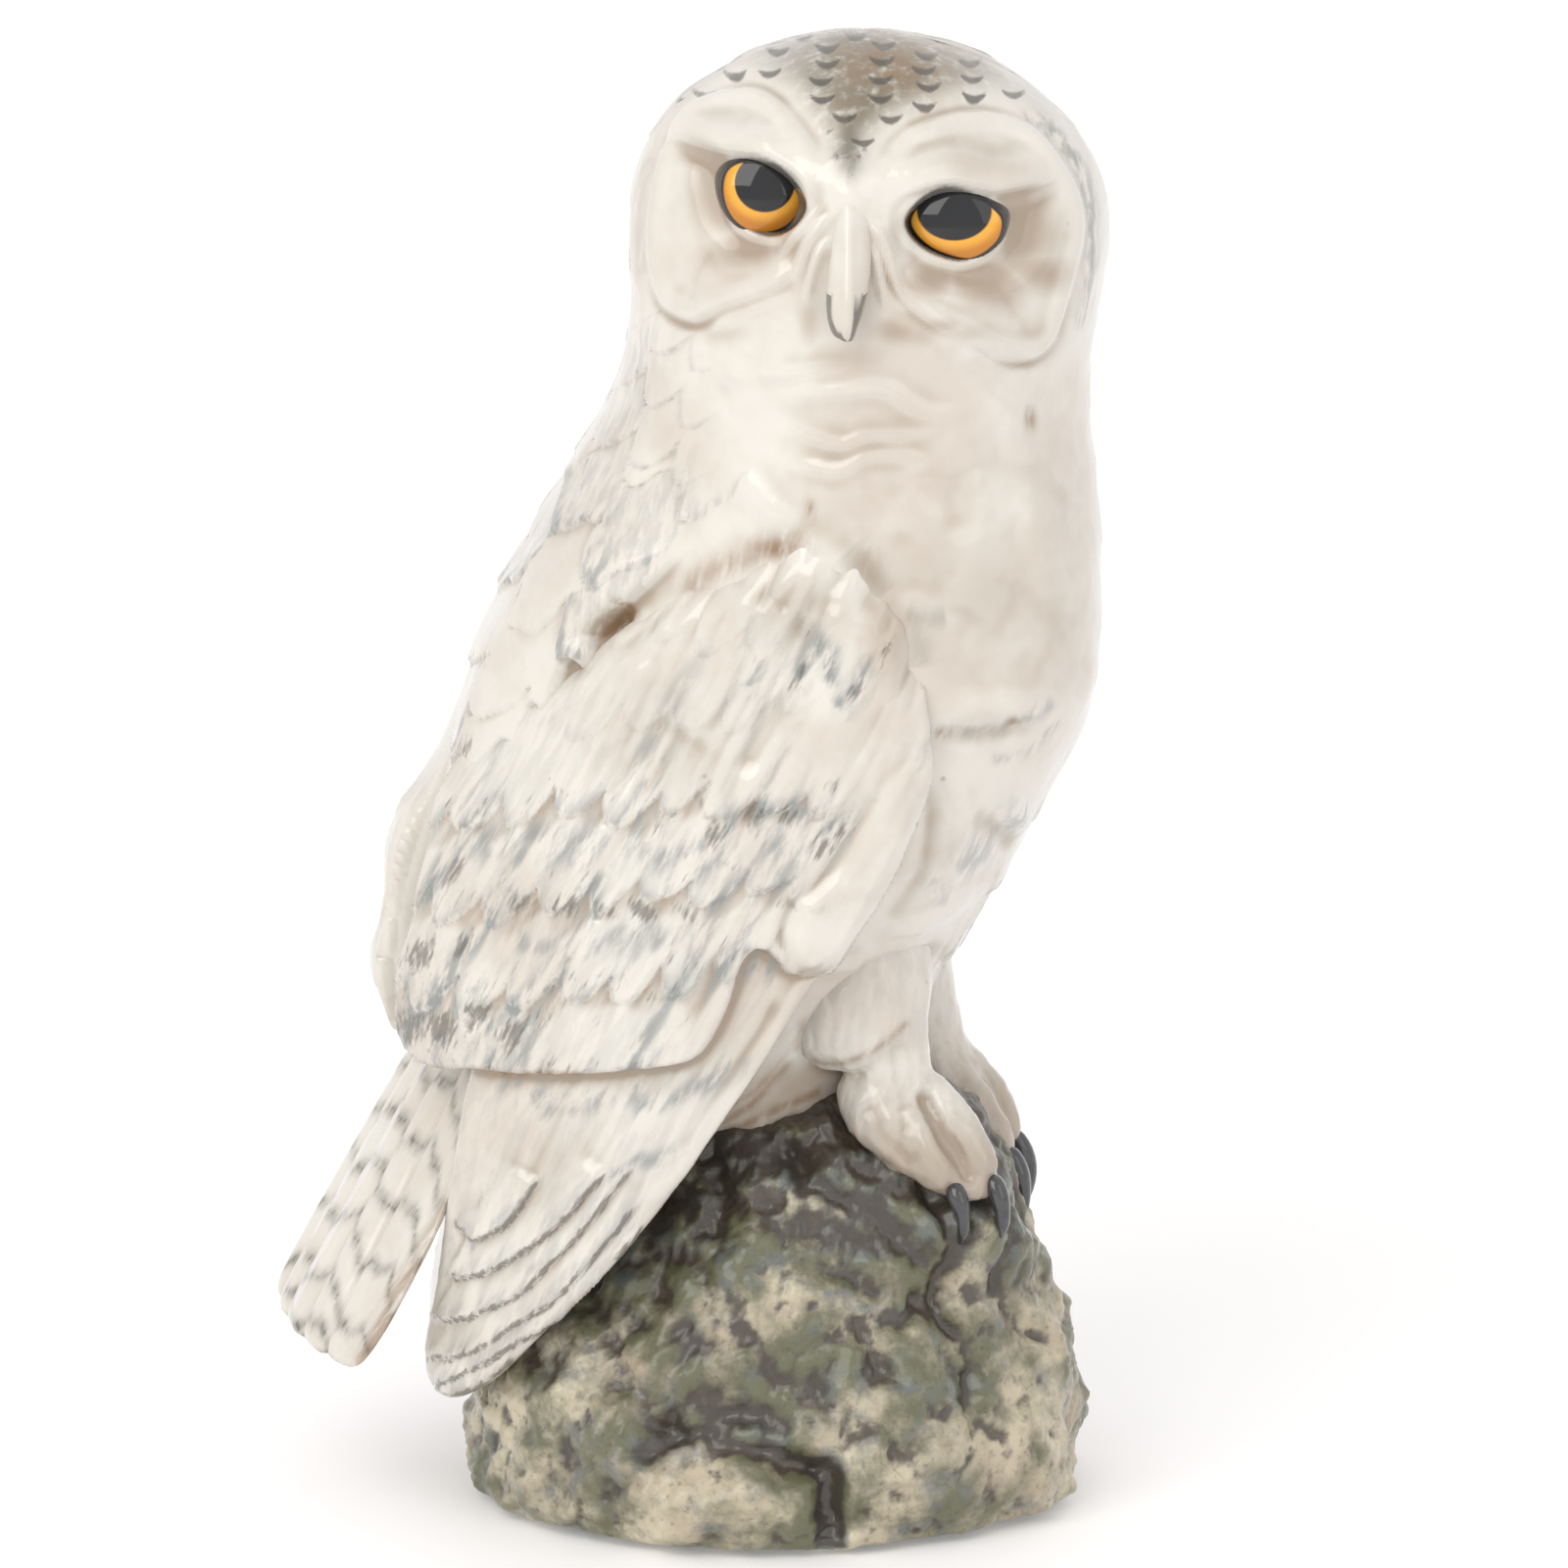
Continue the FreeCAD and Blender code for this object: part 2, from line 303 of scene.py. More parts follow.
# for feathers, a runs down the feather and b across it, both in millimetres
def scatter(i, j, seed):
    value = np.sin(i * 12.9898 + j * 78.233 + seed * 37.719) * 43758.5453
    return value - np.floor(value)


# rounded rows lying over one another: distance up from the tip, place across (-0.5 to 0.5), a random
# number for each feather
def feathers(a, b, length, width, seed=1.0, rounding=0.45):
    row = np.floor(a / length)
    tipGap = np.full(a.shape, 1e9)
    across = np.zeros(a.shape)
    chance = np.zeros(a.shape)
    for step in (1, 0, -1):
        i = row + step
        shift = 0.5 * np.mod(i, 2) + 0.22 * scatter(i, 0.0, seed)
        j = np.round(b / width - shift)
        spot = b / width - shift - j
        tip = (i + 1) * length + length * 0.22 * (scatter(i, j, seed) - 0.5)
        tip = tip - rounding * length * (2 * spot) ** 2
        over = a < tip
        tipGap = np.where(over, tip - a, tipGap)
        across = np.where(over, spot, across)
        chance = np.where(over, scatter(i, j, seed + 3.0), chance)
    return np.clip(tipGap, 0, 2 * length), across, chance


# the height of such a row: thick at the tip, sinking towards the row above
def featherHeight(a, b, length, width, seed=1.0, rounding=0.45, edge=0.7):
    tipGap, across, chance = feathers(a, b, length, width, seed, rounding)
    height = (1 - 0.8 * ease(0, length, tipGap)) * ease(-0.15, edge, tipGap)
    return height * (0.72 + 0.28 * np.cos(across * math.pi)) + 0.25 * (chance - 0.5), tipGap, chance


view = np.array([0.0, -math.cos(math.radians(studio["tilt"])), math.sin(math.radians(studio["tilt"]))])


# blobs of tone: rows of (u, w, across, up, strength), leaning with the feathers
def blobs(u, w, rows, lean=28.0):
    s, c = math.sin(math.radians(lean)), math.cos(math.radians(lean))
    total = np.zeros(u.shape)
    for x, y, across, up, strength in rows:
        du, dw = u - x, w - y
        total = np.maximum(total, strength * np.exp(-((du * c - dw * s) / across) ** 2
                                                    - ((du * s + dw * c) / up) ** 2))
    return total


def bands(u, w, rows):
    total = np.zeros(u.shape)
    for line, reach, strength in rows:
        total = np.maximum(total, ridge(u, w, line, reach, strength, 0.08))
    return total


def startMaterial(name):
    material = bpy.data.materials.new(name)
    material.use_nodes = True
    tree = material.node_tree
    return tree, tree.nodes["Principled BSDF"]


def node(tree, kind, **values):
    made = tree.nodes.new(kind)
    for key, value in values.items():
        if hasattr(made, key):
            setattr(made, key, value)
        else:
            made.inputs[key.replace("_", " ")].default_value = value
    return made


def link(tree, fromSocket, toSocket):
    tree.links.new(fromSocket, toSocket)


def attribute(tree, layer):
    return node(tree, "ShaderNodeAttribute", attribute_name=layer).outputs["Fac"]


def maths(tree, operation, a, b=None, clamp=False):
    made = tree.nodes.new("ShaderNodeMath")
    made.operation = operation
    made.use_clamp = clamp
    for socket, value in zip(made.inputs, (a, b)):
        if value is None:
            continue
        if isinstance(value, (int, float)):
            socket.default_value = value
        else:
            link(tree, value, socket)
    return made.outputs[0]


def between(tree, value, low, high):
    made = node(tree, "ShaderNodeMapRange", interpolation_type="SMOOTHSTEP")
    link(tree, value, made.inputs["Value"])
    made.inputs["From Min"].default_value = low
    made.inputs["From Max"].default_value = high
    return made.outputs["Result"]


def blend(tree, factor, under, over):
    made = node(tree, "ShaderNodeMix", data_type="RGBA")
    for socket, value in ((made.inputs[0], factor), (made.inputs[6], under), (made.inputs[7], over)):
        if isinstance(value, (int, float)):
            socket.default_value = value
        elif isinstance(value, tuple):
            socket.default_value = (*value, 1.0)
        else:
            link(tree, value, socket)
    return made.outputs[2]


# a colour laid over the base where the amount is between low and high
def laidOver(tree, base, amount, low, high, strength, colour):
    seen = maths(tree, "MULTIPLY", between(tree, amount, low, high), strength)
    return blend(tree, seen, base, colour)


def grain(tree, scale, detail, stretch=(1, 1, 1), turn=(0, 0, 0), shift=(0, 0, 0)):
    where = node(tree, "ShaderNodeTexCoord").outputs["Object"]
    turned = node(tree, "ShaderNodeMapping", vector_type="TEXTURE")
    turned.inputs["Location"].default_value = shift
    turned.inputs["Rotation"].default_value = [math.radians(angle) for angle in turn]
    turned.inputs["Scale"].default_value = stretch
    link(tree, where, turned.inputs["Vector"])
    made = node(tree, "ShaderNodeTexNoise", Scale=scale, Detail=detail, Roughness=0.6)
    link(tree, turned.outputs["Vector"], made.inputs["Vector"])
    return made.outputs["Fac"]


def glaze(shader, roughness, coat):
    shader.inputs["Roughness"].default_value = roughness
    shader.inputs["IOR"].default_value = 1.5
    shader.inputs["Coat Weight"].default_value = coat
    shader.inputs["Coat Roughness"].default_value = 0.05


plumage = {
    "cream": (0.685, 0.66, 0.60),
    "rose": (0.605, 0.55, 0.485),
    "shade": (0.36, 0.285, 0.21),
    "wash": (0.27, 0.285, 0.275),
    "olive": (0.165, 0.155, 0.115),
    "bristle": (0.085, 0.078, 0.058),
    "ink": (0.045, 0.04, 0.032),
    "stain": (0.25, 0.15, 0.075),
}


# turn lays the bristle marks along the feathers
def makePlumageMaterial(name, turn):
    tree, shader = startMaterial(name)
    cloud = grain(tree, 55, 6)
    soft = grain(tree, 700, 8, stretch=(1.0, 1.0, 4.2), turn=turn, shift=(0.3, 0, 0))
    streak = grain(tree, 1700, 3, stretch=(1.0, 1.0, 6.0), turn=turn)
    base = blend(tree, between(tree, cloud, 0.40, 0.66), plumage["cream"], plumage["rose"])
    # painted shade: the creases (the hollow layer) and the shade layer darken the glaze towards the shade
    # colour
    hollow = maths(tree, "MAXIMUM", attribute(tree, "hollow"), -0.08)
    shade = maths(tree, "ADD", hollow, attribute(tree, "shade"))
    base = blend(tree, between(tree, shade, 0.0, 1.05), base, plumage["shade"])
    # the olive layer also carries the painted olive shadows where the wing meets the breast, and the brown
    # stain layer the painted shade on the tail's edges
    for layer, colour, low, high in (("wash", "wash", 0.38, 0.62), ("olive", "olive", 0.12, 0.56),
                                     ("stain", "stain", 0.26, 0.58)):
        amount = maths(tree, "MULTIPLY", attribute(tree, layer), between(tree, soft, low, high), True)
        base = blend(tree, amount, base, plumage[colour])
    flecked = maths(tree, "ADD", maths(tree, "MULTIPLY", attribute(tree, "fleck"), 0.5), streak)
    base = laidOver(tree, base, flecked, 0.76, 1.02, 0.72, plumage["bristle"])
    drawn = maths(tree, "ADD", attribute(tree, "ink"), maths(tree, "MULTIPLY", streak, 0.30))
    base = laidOver(tree, base, drawn, 0.06, 0.42, 0.80, plumage["ink"])
    specks = node(tree, "ShaderNodeTexVoronoi", Scale=95.0)
    link(tree, node(tree, "ShaderNodeTexCoord").outputs["Object"], specks.inputs["Vector"])
    base = laidOver(tree, base, specks.outputs["Distance"], 0.05, 0.02, 0.5, plumage["stain"])
    link(tree, base, shader.inputs["Base Color"])
    bump = node(tree, "ShaderNodeBump", Strength=0.07, Distance=0.0005)
    link(tree, soft, bump.inputs["Height"])
    link(tree, bump.outputs["Normal"], shader.inputs["Normal"])
    glaze(shader, 0.2, 0.55)


rockPaint = {
    "cream": (0.59, 0.53, 0.385),
    "buff": (0.40, 0.33, 0.24),
    "moss": (0.122, 0.124, 0.068),
    "slate": (0.125, 0.15, 0.158),
    "umber": (0.05, 0.039, 0.030),
}


def makeRockMaterial():
    tree, shader = startMaterial("mottledGlaze")
    dark = attribute(tree, "dark")
    broad = grain(tree, 42, 4, shift=(0.4, 0.1, 0.2))
    mossy = maths(tree, "ADD", grain(tree, 130, 14), maths(tree, "MULTIPLY", dark, 0.20))
    mossy = maths(tree, "ADD", mossy, maths(tree, "MULTIPLY", broad, 0.45))
    base = blend(tree, between(tree, broad, 0.35, 0.62), rockPaint["cream"], rockPaint["buff"])
    base = blend(tree, between(tree, mossy, 0.60, 0.86), base, rockPaint["moss"])
    slaty = grain(tree, 260, 14, shift=(0.7, 0.2, 0))
    slaty = maths(tree, "ADD", slaty, maths(tree, "MULTIPLY", dark, 0.10))
    base = laidOver(tree, base, slaty, 0.50, 0.72, 0.7, rockPaint["slate"])
    # umber where creases, the dark layer and grain add up: painted shade in the creases and the fissure,
    # mixed with the rock's own umber mottling
    deep = maths(tree, "ADD", attribute(tree, "hollow"), dark)
    deep = maths(tree, "ADD", deep, maths(tree, "MULTIPLY", grain(tree, 300, 14, shift=(0.1, 0.5, 0)), 2.6))
    base = laidOver(tree, base, deep, 1.30, 2.15, 0.9, rockPaint["umber"])
    specks = grain(tree, 1100, 5, shift=(0.2, 0.9, 0.3))
    base = laidOver(tree, base, specks, 0.54, 0.70, 0.40, rockPaint["umber"])
    link(tree, base, shader.inputs["Base Color"])
    bump = node(tree, "ShaderNodeBump", Strength=0.3, Distance=0.0008)
    link(tree, grain(tree, 520, 6), bump.inputs["Height"])
    link(tree, bump.outputs["Normal"], shader.inputs["Normal"])
    glaze(shader, 0.32, 0.4)


eyePaint = {"pupil": (0.006, 0.007, 0.009), "amber": (0.80, 0.38, 0.035), "rust": (0.52, 0.19, 0.012)}


def makeEyeMaterial():
    tree, shader = startMaterial("eyeGlaze")
    ring = attribute(tree, "pupilGap")
    base = blend(tree, between(tree, ring, 0.2, 1.5), eyePaint["amber"], eyePaint["rust"])
    base = blend(tree, between(tree, ring, 0.12, -0.12), base, eyePaint["pupil"])
    base = blend(tree, between(tree, attribute(tree, "rim"), 0.42, 0.22), base, eyePaint["pupil"])
    link(tree, base, shader.inputs["Base Color"])
    glaze(shader, 0.05, 0.25)


def makeClawMaterial():
    tree, shader = startMaterial("clawGlaze")
    tone = between(tree, grain(tree, 500, 4), 0.3, 0.75)
    link(tree, blend(tree, tone, (0.05, 0.05, 0.055), (0.02, 0.02, 0.022)), shader.inputs["Base Color"])
    glaze(shader, 0.12, 0.8)


def makeMaterials():
    makePlumageMaterial("bodyPlumage", (0, 12, 0))
    makePlumageMaterial("wingPlumage", (0, 28, 0))
    makePlumageMaterial("tailPlumage", (0, 32, 0))
    makeRockMaterial()
    makeEyeMaterial()
    makeClawMaterial()
    print("materials ready")


def makeStudio():
    tilt = math.radians(studio["tilt"])
    target = Vector((studio["lookX"], 0, studio["lookHeight"])) * mm
    away = Vector((0, -math.cos(tilt), math.sin(tilt))) * studio["distance"] * mm
    camera = bpy.data.objects.new("camera", bpy.data.cameras.new("camera"))
    bpy.context.scene.collection.objects.link(camera)
    camera.location = target + away
    camera.rotation_euler = (math.pi / 2 - tilt, 0, 0)
    camera.data.lens = camera.data.sensor_width * studio["distance"] / studio["frameWidth"]
    camera.data.clip_start = 0.05
    bpy.context.scene.camera = camera

    bm = bmesh.new()
    bmesh.ops.create_grid(bm, x_segments=1, y_segments=1, size=studio["floorSize"])
    floor = show("floor", meshFrom(bm, "floor"))
    shader = startMaterial("paleFloor")[1]
    shader.inputs["Base Color"].default_value = (0.80, 0.79, 0.79, 1)
    shader.inputs["Emission Color"].default_value = (1.0, 0.995, 1.0, 1)
    shader.inputs["Emission Strength"].default_value = 0.2
    shader.inputs["Roughness"].default_value = 0.6
    floor.data.materials.append(bpy.data.materials["paleFloor"])

    world = bpy.data.worlds.new("studioAir")
    world.use_nodes = True
    sky = world.node_tree.nodes["Background"]
    sky.inputs["Color"].default_value = (1.0, 0.99, 0.985, 1)
    sky.inputs["Strength"].default_value = studio["worldLight"]
    bpy.context.scene.world = world
    bpy.context.scene.view_settings.view_transform = "Standard"

    def softbox(name, where, size, power, tint=(1, 1, 1)):
        lamp = bpy.data.lights.new(name, "AREA")
        lamp.shape = "RECTANGLE"
        lamp.size, lamp.size_y = size
        lamp.energy = power
        lamp.color = tint
        box = bpy.data.objects.new(name, lamp)
        bpy.context.scene.collection.objects.link(box)
        box.location = where
        box.rotation_euler = (target - Vector(where)).to_track_quat("-Z", "Y").to_euler()

    softbox("keySoftbox", (-0.55, -0.8, 0.85), (0.8, 1.0), studio["keyLight"], (1.0, 0.98, 0.95))
    softbox("fillSoftbox", (0.8, -0.9, 0.6), (0.7, 1.0), studio["fillLight"], (1.0, 0.95, 0.96))
    print("studio ready")


# body and head are worked as one form and then parted at the neck: rows of (level, ahead, side,
# long, wide, turn)
bodyRows = [
    (40, -4, 0, 14, 10, 4), (46, -6, 0, 17.5, 12.5, 4), (54, -9, 0, 23.8, 16.6, 4),
    (63, -6.9, 0, 28, 20, 3), (72, -4.6, 0, 31.2, 22.4, -1), (81, -2.2, 0, 33.4, 23.6, -7),
    (90, 1.4, 0, 34.6, 24.2, -14), (97, 2.4, 0, 34.6, 24.6, -19), (104, 4.1, 0, 33, 24.8, -23),
    (112, 6.6, -0.6, 30.8, 24.4, -28), (120, 8.1, -1.2, 27.2, 24, -26), (126, 9.2, -1.7, 25.6, 24.1, -16),
    (132, 10, -2, 25.2, 24.4, -6), (138.5, 10.7, -2, 25.7, 24.6, 0), (144, 10.8, -2, 25.9, 24.3, 0),
    (148.8, 10.7, -2.4, 25, 23, 0), (153.4, 10.5, -3, 22.9, 20.6, 0), (157.8, 10.3, -3.6, 19, 16.8, 0),
    (161.4, 10, -4, 13.4, 11.8, 0), (163.4, 9.8, -4.2, 7, 6.4, 0), (164.1, 9.8, -4.2, 2.4, 2.3, 0),
]

neck = {"level": 120, "segments": 28, "levels": 4}

# (u, w) outlines of the facial discs, brows, hollows and eyes
face = {
    "rightDisc": [
        (-10.2, 148.6), (-8.7, 151.3), (-6, 152.8), (-2.5, 153.2), (0.4, 152), (2.6, 149.9), (4.6, 146.8),
        (6.3, 142.8), (6.9, 138.7), (5.6, 135.4), (2.8, 132.2), (-1.9, 130), (-5.3, 128.8), (-8.3, 127.4),
        (-11.1, 128.4), (-12.8, 130.5), (-13.6, 135.4), (-13, 141.4), (-12.1, 145.8),
    ],
    "leftDisc": [
        (12.4, 145), (14.5, 147.9), (16.9, 149.2), (20.3, 150.3), (23.7, 150.6), (26.8, 149.9),
        (29.2, 148.6), (31.4, 146.2), (33.1, 143.4), (34.2, 140.7), (34.5, 137), (33.6, 133), (32.6, 129.8),
        (31.2, 125.4), (28.8, 123.4), (24.8, 123.7), (20.4, 126), (16, 128.2), (11.8, 130.1), (10.6, 133.2),
        (10.9, 137), (11.2, 141),
    ],
    "rightBrow": [(-11.6, 146.6), (-9.4, 147.2), (-4.3, 145.9), (-0.6, 145.2), (3.3, 143), (5.2, 139.6)],
    "leftBrow": [(12.6, 139), (15.2, 141.2), (19.6, 142.3), (24.7, 141.6), (29, 142.4), (32, 143.2)],
    "rightHollow": [
        (-9.6, 146), (-8.4, 139.6), (-6.6, 135.6), (-4, 133.6), (-0.8, 133.4), (1.6, 135.4), (4.2, 138.4),
        (4.4, 141.2), (0, 145), (-4.6, 146),
    ],
    "leftHollow": [
        (13.6, 139.6), (13.8, 135.4), (16.4, 132), (21.6, 130.2), (27.6, 131.6), (31, 135.8), (31.4, 141.6),
        (25, 141.4), (19, 142.2),
    ],
    "rightEye": [
        (-4.5, 144.4), (-2.2, 145.2), (1, 144.2), (3.2, 141.8), (3.6, 139.6), (1.8, 137.6), (-0.9, 136.9),
        (-3.4, 137.8), (-4.9, 139.8), (-5.3, 142.4),
    ],
    "leftEye": [
        (15.2, 138.8), (17, 141), (19.4, 142), (22.4, 141.4), (24.6, 140), (25.7, 138.4), (24.9, 135.9),
        (21.9, 134.1), (18.2, 135), (15.9, 136.8),
    ],
}

crown = {
    "crescentWidth": 1.5,
    "crescentThickness": 0.48,
    "crescents": [
        (0.9, 157.3), (6.3, 157.6), (12.5, 157.9), (17.2, 156.9), (22, 156.2), (0, 155), (6.3, 155.9),
        (12.3, 156.2), (16.9, 155.2), (22.2, 154.4), (26.8, 152.8), (5.6, 154), (12.1, 154.2),
        (17.4, 153.4), (22.4, 152.4), (5.8, 152), (12.1, 152.1), (16.9, 151.3), (8.2, 149.9), (13.2, 149.9),
        (10.2, 147.2), (3.6, 158.9), (9.4, 158.9), (-3.9, 155), (-7.4, 153),
    ],
}

# soft folds of the glazed plumage: points, reach, height
headFolds = [
    ([(-11.8, 146.8), (-9, 148), (-4.5, 147.2), (0, 146.8), (3.6, 145)], 1.6, 0.9),
    ([(13, 142), (16, 144), (21, 144.8), (26, 144), (31, 144.4)], 1.8, 0.9),
    ([(8.9, 148), (8.9, 143), (8.6, 138)], 3.2, 1.3),
    ([(7.4, 140), (5, 137.4), (3.4, 134.2), (2.8, 130.6)], 0.55, 0.8),
    ([(7, 141.6), (4.4, 138.8), (1.8, 135.8), (0.2, 132)], 0.55, 0.65),
    ([(6.8, 137), (5.2, 134.6), (4.4, 131.4), (4.2, 128.6)], 0.45, 0.65),
    ([(6, 138), (3.8, 135.4), (2, 131.6)], 0.4, -0.5),
    ([(10.4, 139.4), (12.6, 136), (13.8, 132.4), (14.8, 129.6)], 0.55, 0.7),
    ([(10.8, 137), (11.8, 133.6), (12.4, 130.4), (12.8, 127.4)], 0.45, 0.65),
    ([(12, 135.6), (13, 131.8), (15.4, 128.6), (19, 126.6)], 0.4, -0.5),
    ([(-8.8, 127), (-4.4, 128.2), (0, 130.2), (3.6, 133)], 1.2, 0.6),
    ([(12.4, 128.6), (17, 127.4), (20, 125.6), (24, 123.4), (28.6, 122.6)], 1.1, 0.8),
    ([(21, 126.8), (23, 124.6), (25, 123.6)], 0.6, -0.5),
    ([(-2, 120), (1.6, 119.6), (3.5, 119.6), (8, 119.9), (12.5, 120.2), (16.4, 117.9), (20, 117.6),
      (24, 119)], 1, 0.5),
    ([(-0.4, 117), (1.6, 116.2), (4.8, 114.8), (8, 114.1), (10.6, 114.9), (15.7, 115.1), (20.3, 116.4)],
     0.9, 0.42),
    ([(0.4, 113), (2.9, 112), (7.4, 111.2), (10.6, 112.6), (14.4, 112.8), (18.4, 111.6)], 0.9, 0.5),
    ([(-3, 120.6), (0, 121.6), (5, 122.2), (10, 122.6)], 1, 0.35),
    ([(-6, 124), (-3, 121), (-2, 116)], 1.4, 0.4), ([(22, 121), (26, 117), (28, 111)], 1.6, 0.4),
    ([(2.2, 124), (-2, 122), (-6, 122.4)], 1.4, 0.4), ([(-15, 127), (-14, 120), (-16, 114)], 1.2, -0.5),
]

bodyFolds = [
    ([(17.1, 85.1), (20, 85.2), (25, 85.4), (30, 85.4), (34, 86.4)], 2, 0.8),
    ([(17.4, 82.6), (21, 82.2), (25, 82.8), (30, 85.2)], 1.4, -0.45),
    ([(22, 73.8), (25, 71.6), (28.6, 67.6)], 1.4, -0.4), ([(24, 76), (27, 74), (30.4, 70)], 1.3, 0.7),
    ([(11.6, 60.4), (17, 62), (23.6, 66.4)], 1, 0.8),
    ([(10.2, 59.3), (10.6, 56.9), (12.2, 56), (15.6, 57.8), (19.5, 60.2)], 0.7, -0.9),
    ([(3.2, 47), (7, 46), (12, 47.6), (16.2, 51.2)], 0.9, -0.8),
    ([(3.6, 49.6), (8, 48.8), (12.4, 50.2), (15.6, 53.4)], 2, 1),
    ([(20.5, 95.6), (22, 100), (20, 106)], 3, 0.5),
    ([(18.6, 80), (20.4, 75), (20, 69), (17.4, 63)], 1.2, 0.6),
    ([(16.6, 78), (17.6, 73), (16.4, 67), (12.6, 61.6)], 0.9, -0.5),
    ([(2.6, 58.6), (6, 57.2), (9.6, 57.6), (12, 59.6)], 0.8, 0.6),
    ([(14, 110), (17, 104), (16.4, 98)], 2.6, 0.5), ([(27, 112), (30, 104), (30.6, 95)], 2, 0.5),
    ([(-4, 112), (0, 107), (4, 104.4)], 1.4, 0.6),
]

# olive shadows where the wing's front edge meets the breast: points, reach, strength
wingHollows = [
    ([(8.4, 102.6), (10.4, 100.4), (13, 97.6)], 2.1, 0.30),
    ([(14.8, 95.4), (17, 95), (19.4, 95.4)], 1.3, 0.36),
    ([(15.6, 95.6), (16.4, 92.4), (16.8, 89.6)], 1.5, 0.34),
]

crevice = [(-18.4, 92.6), (-17.4, 94.6), (-14, 96.2), (-7.8, 99.6), (1.9, 103.2), (4.2, 105),
           (7.4, 103.2), (10.7, 100), (14.6, 94.6), (17.4, 92.6)]

mantle = [
    (-38.5, 79.4), (-35.2, 77.8), (-32.6, 79.6), (-30.6, 78.2), (-28, 81.4), (-26.6, 80.6), (-24.8, 85.4),
    (-23.4, 84.6), (-21.4, 90.4), (-19.6, 89.8), (-18.2, 94.4), (-14, 97.8), (-8, 103.4),
]

plumes = {
    "backRow": (7.6, 6.4),       # how long and how wide a feather is
    "crownRow": (3, 5.4),
    "mantleRow": (9.6, 6.4),
    "neckRow": (6, 4.6),
    "backLift": 0.75,
    "mantleLift": 1.7,
    "neckLift": 0.6,
    "browLift": 1.5,
    "dishDepth": 1,
    "hollowDepth": 1.1,
    "socketDepth": 2.2,
    "creaseShade": 2.2,
}
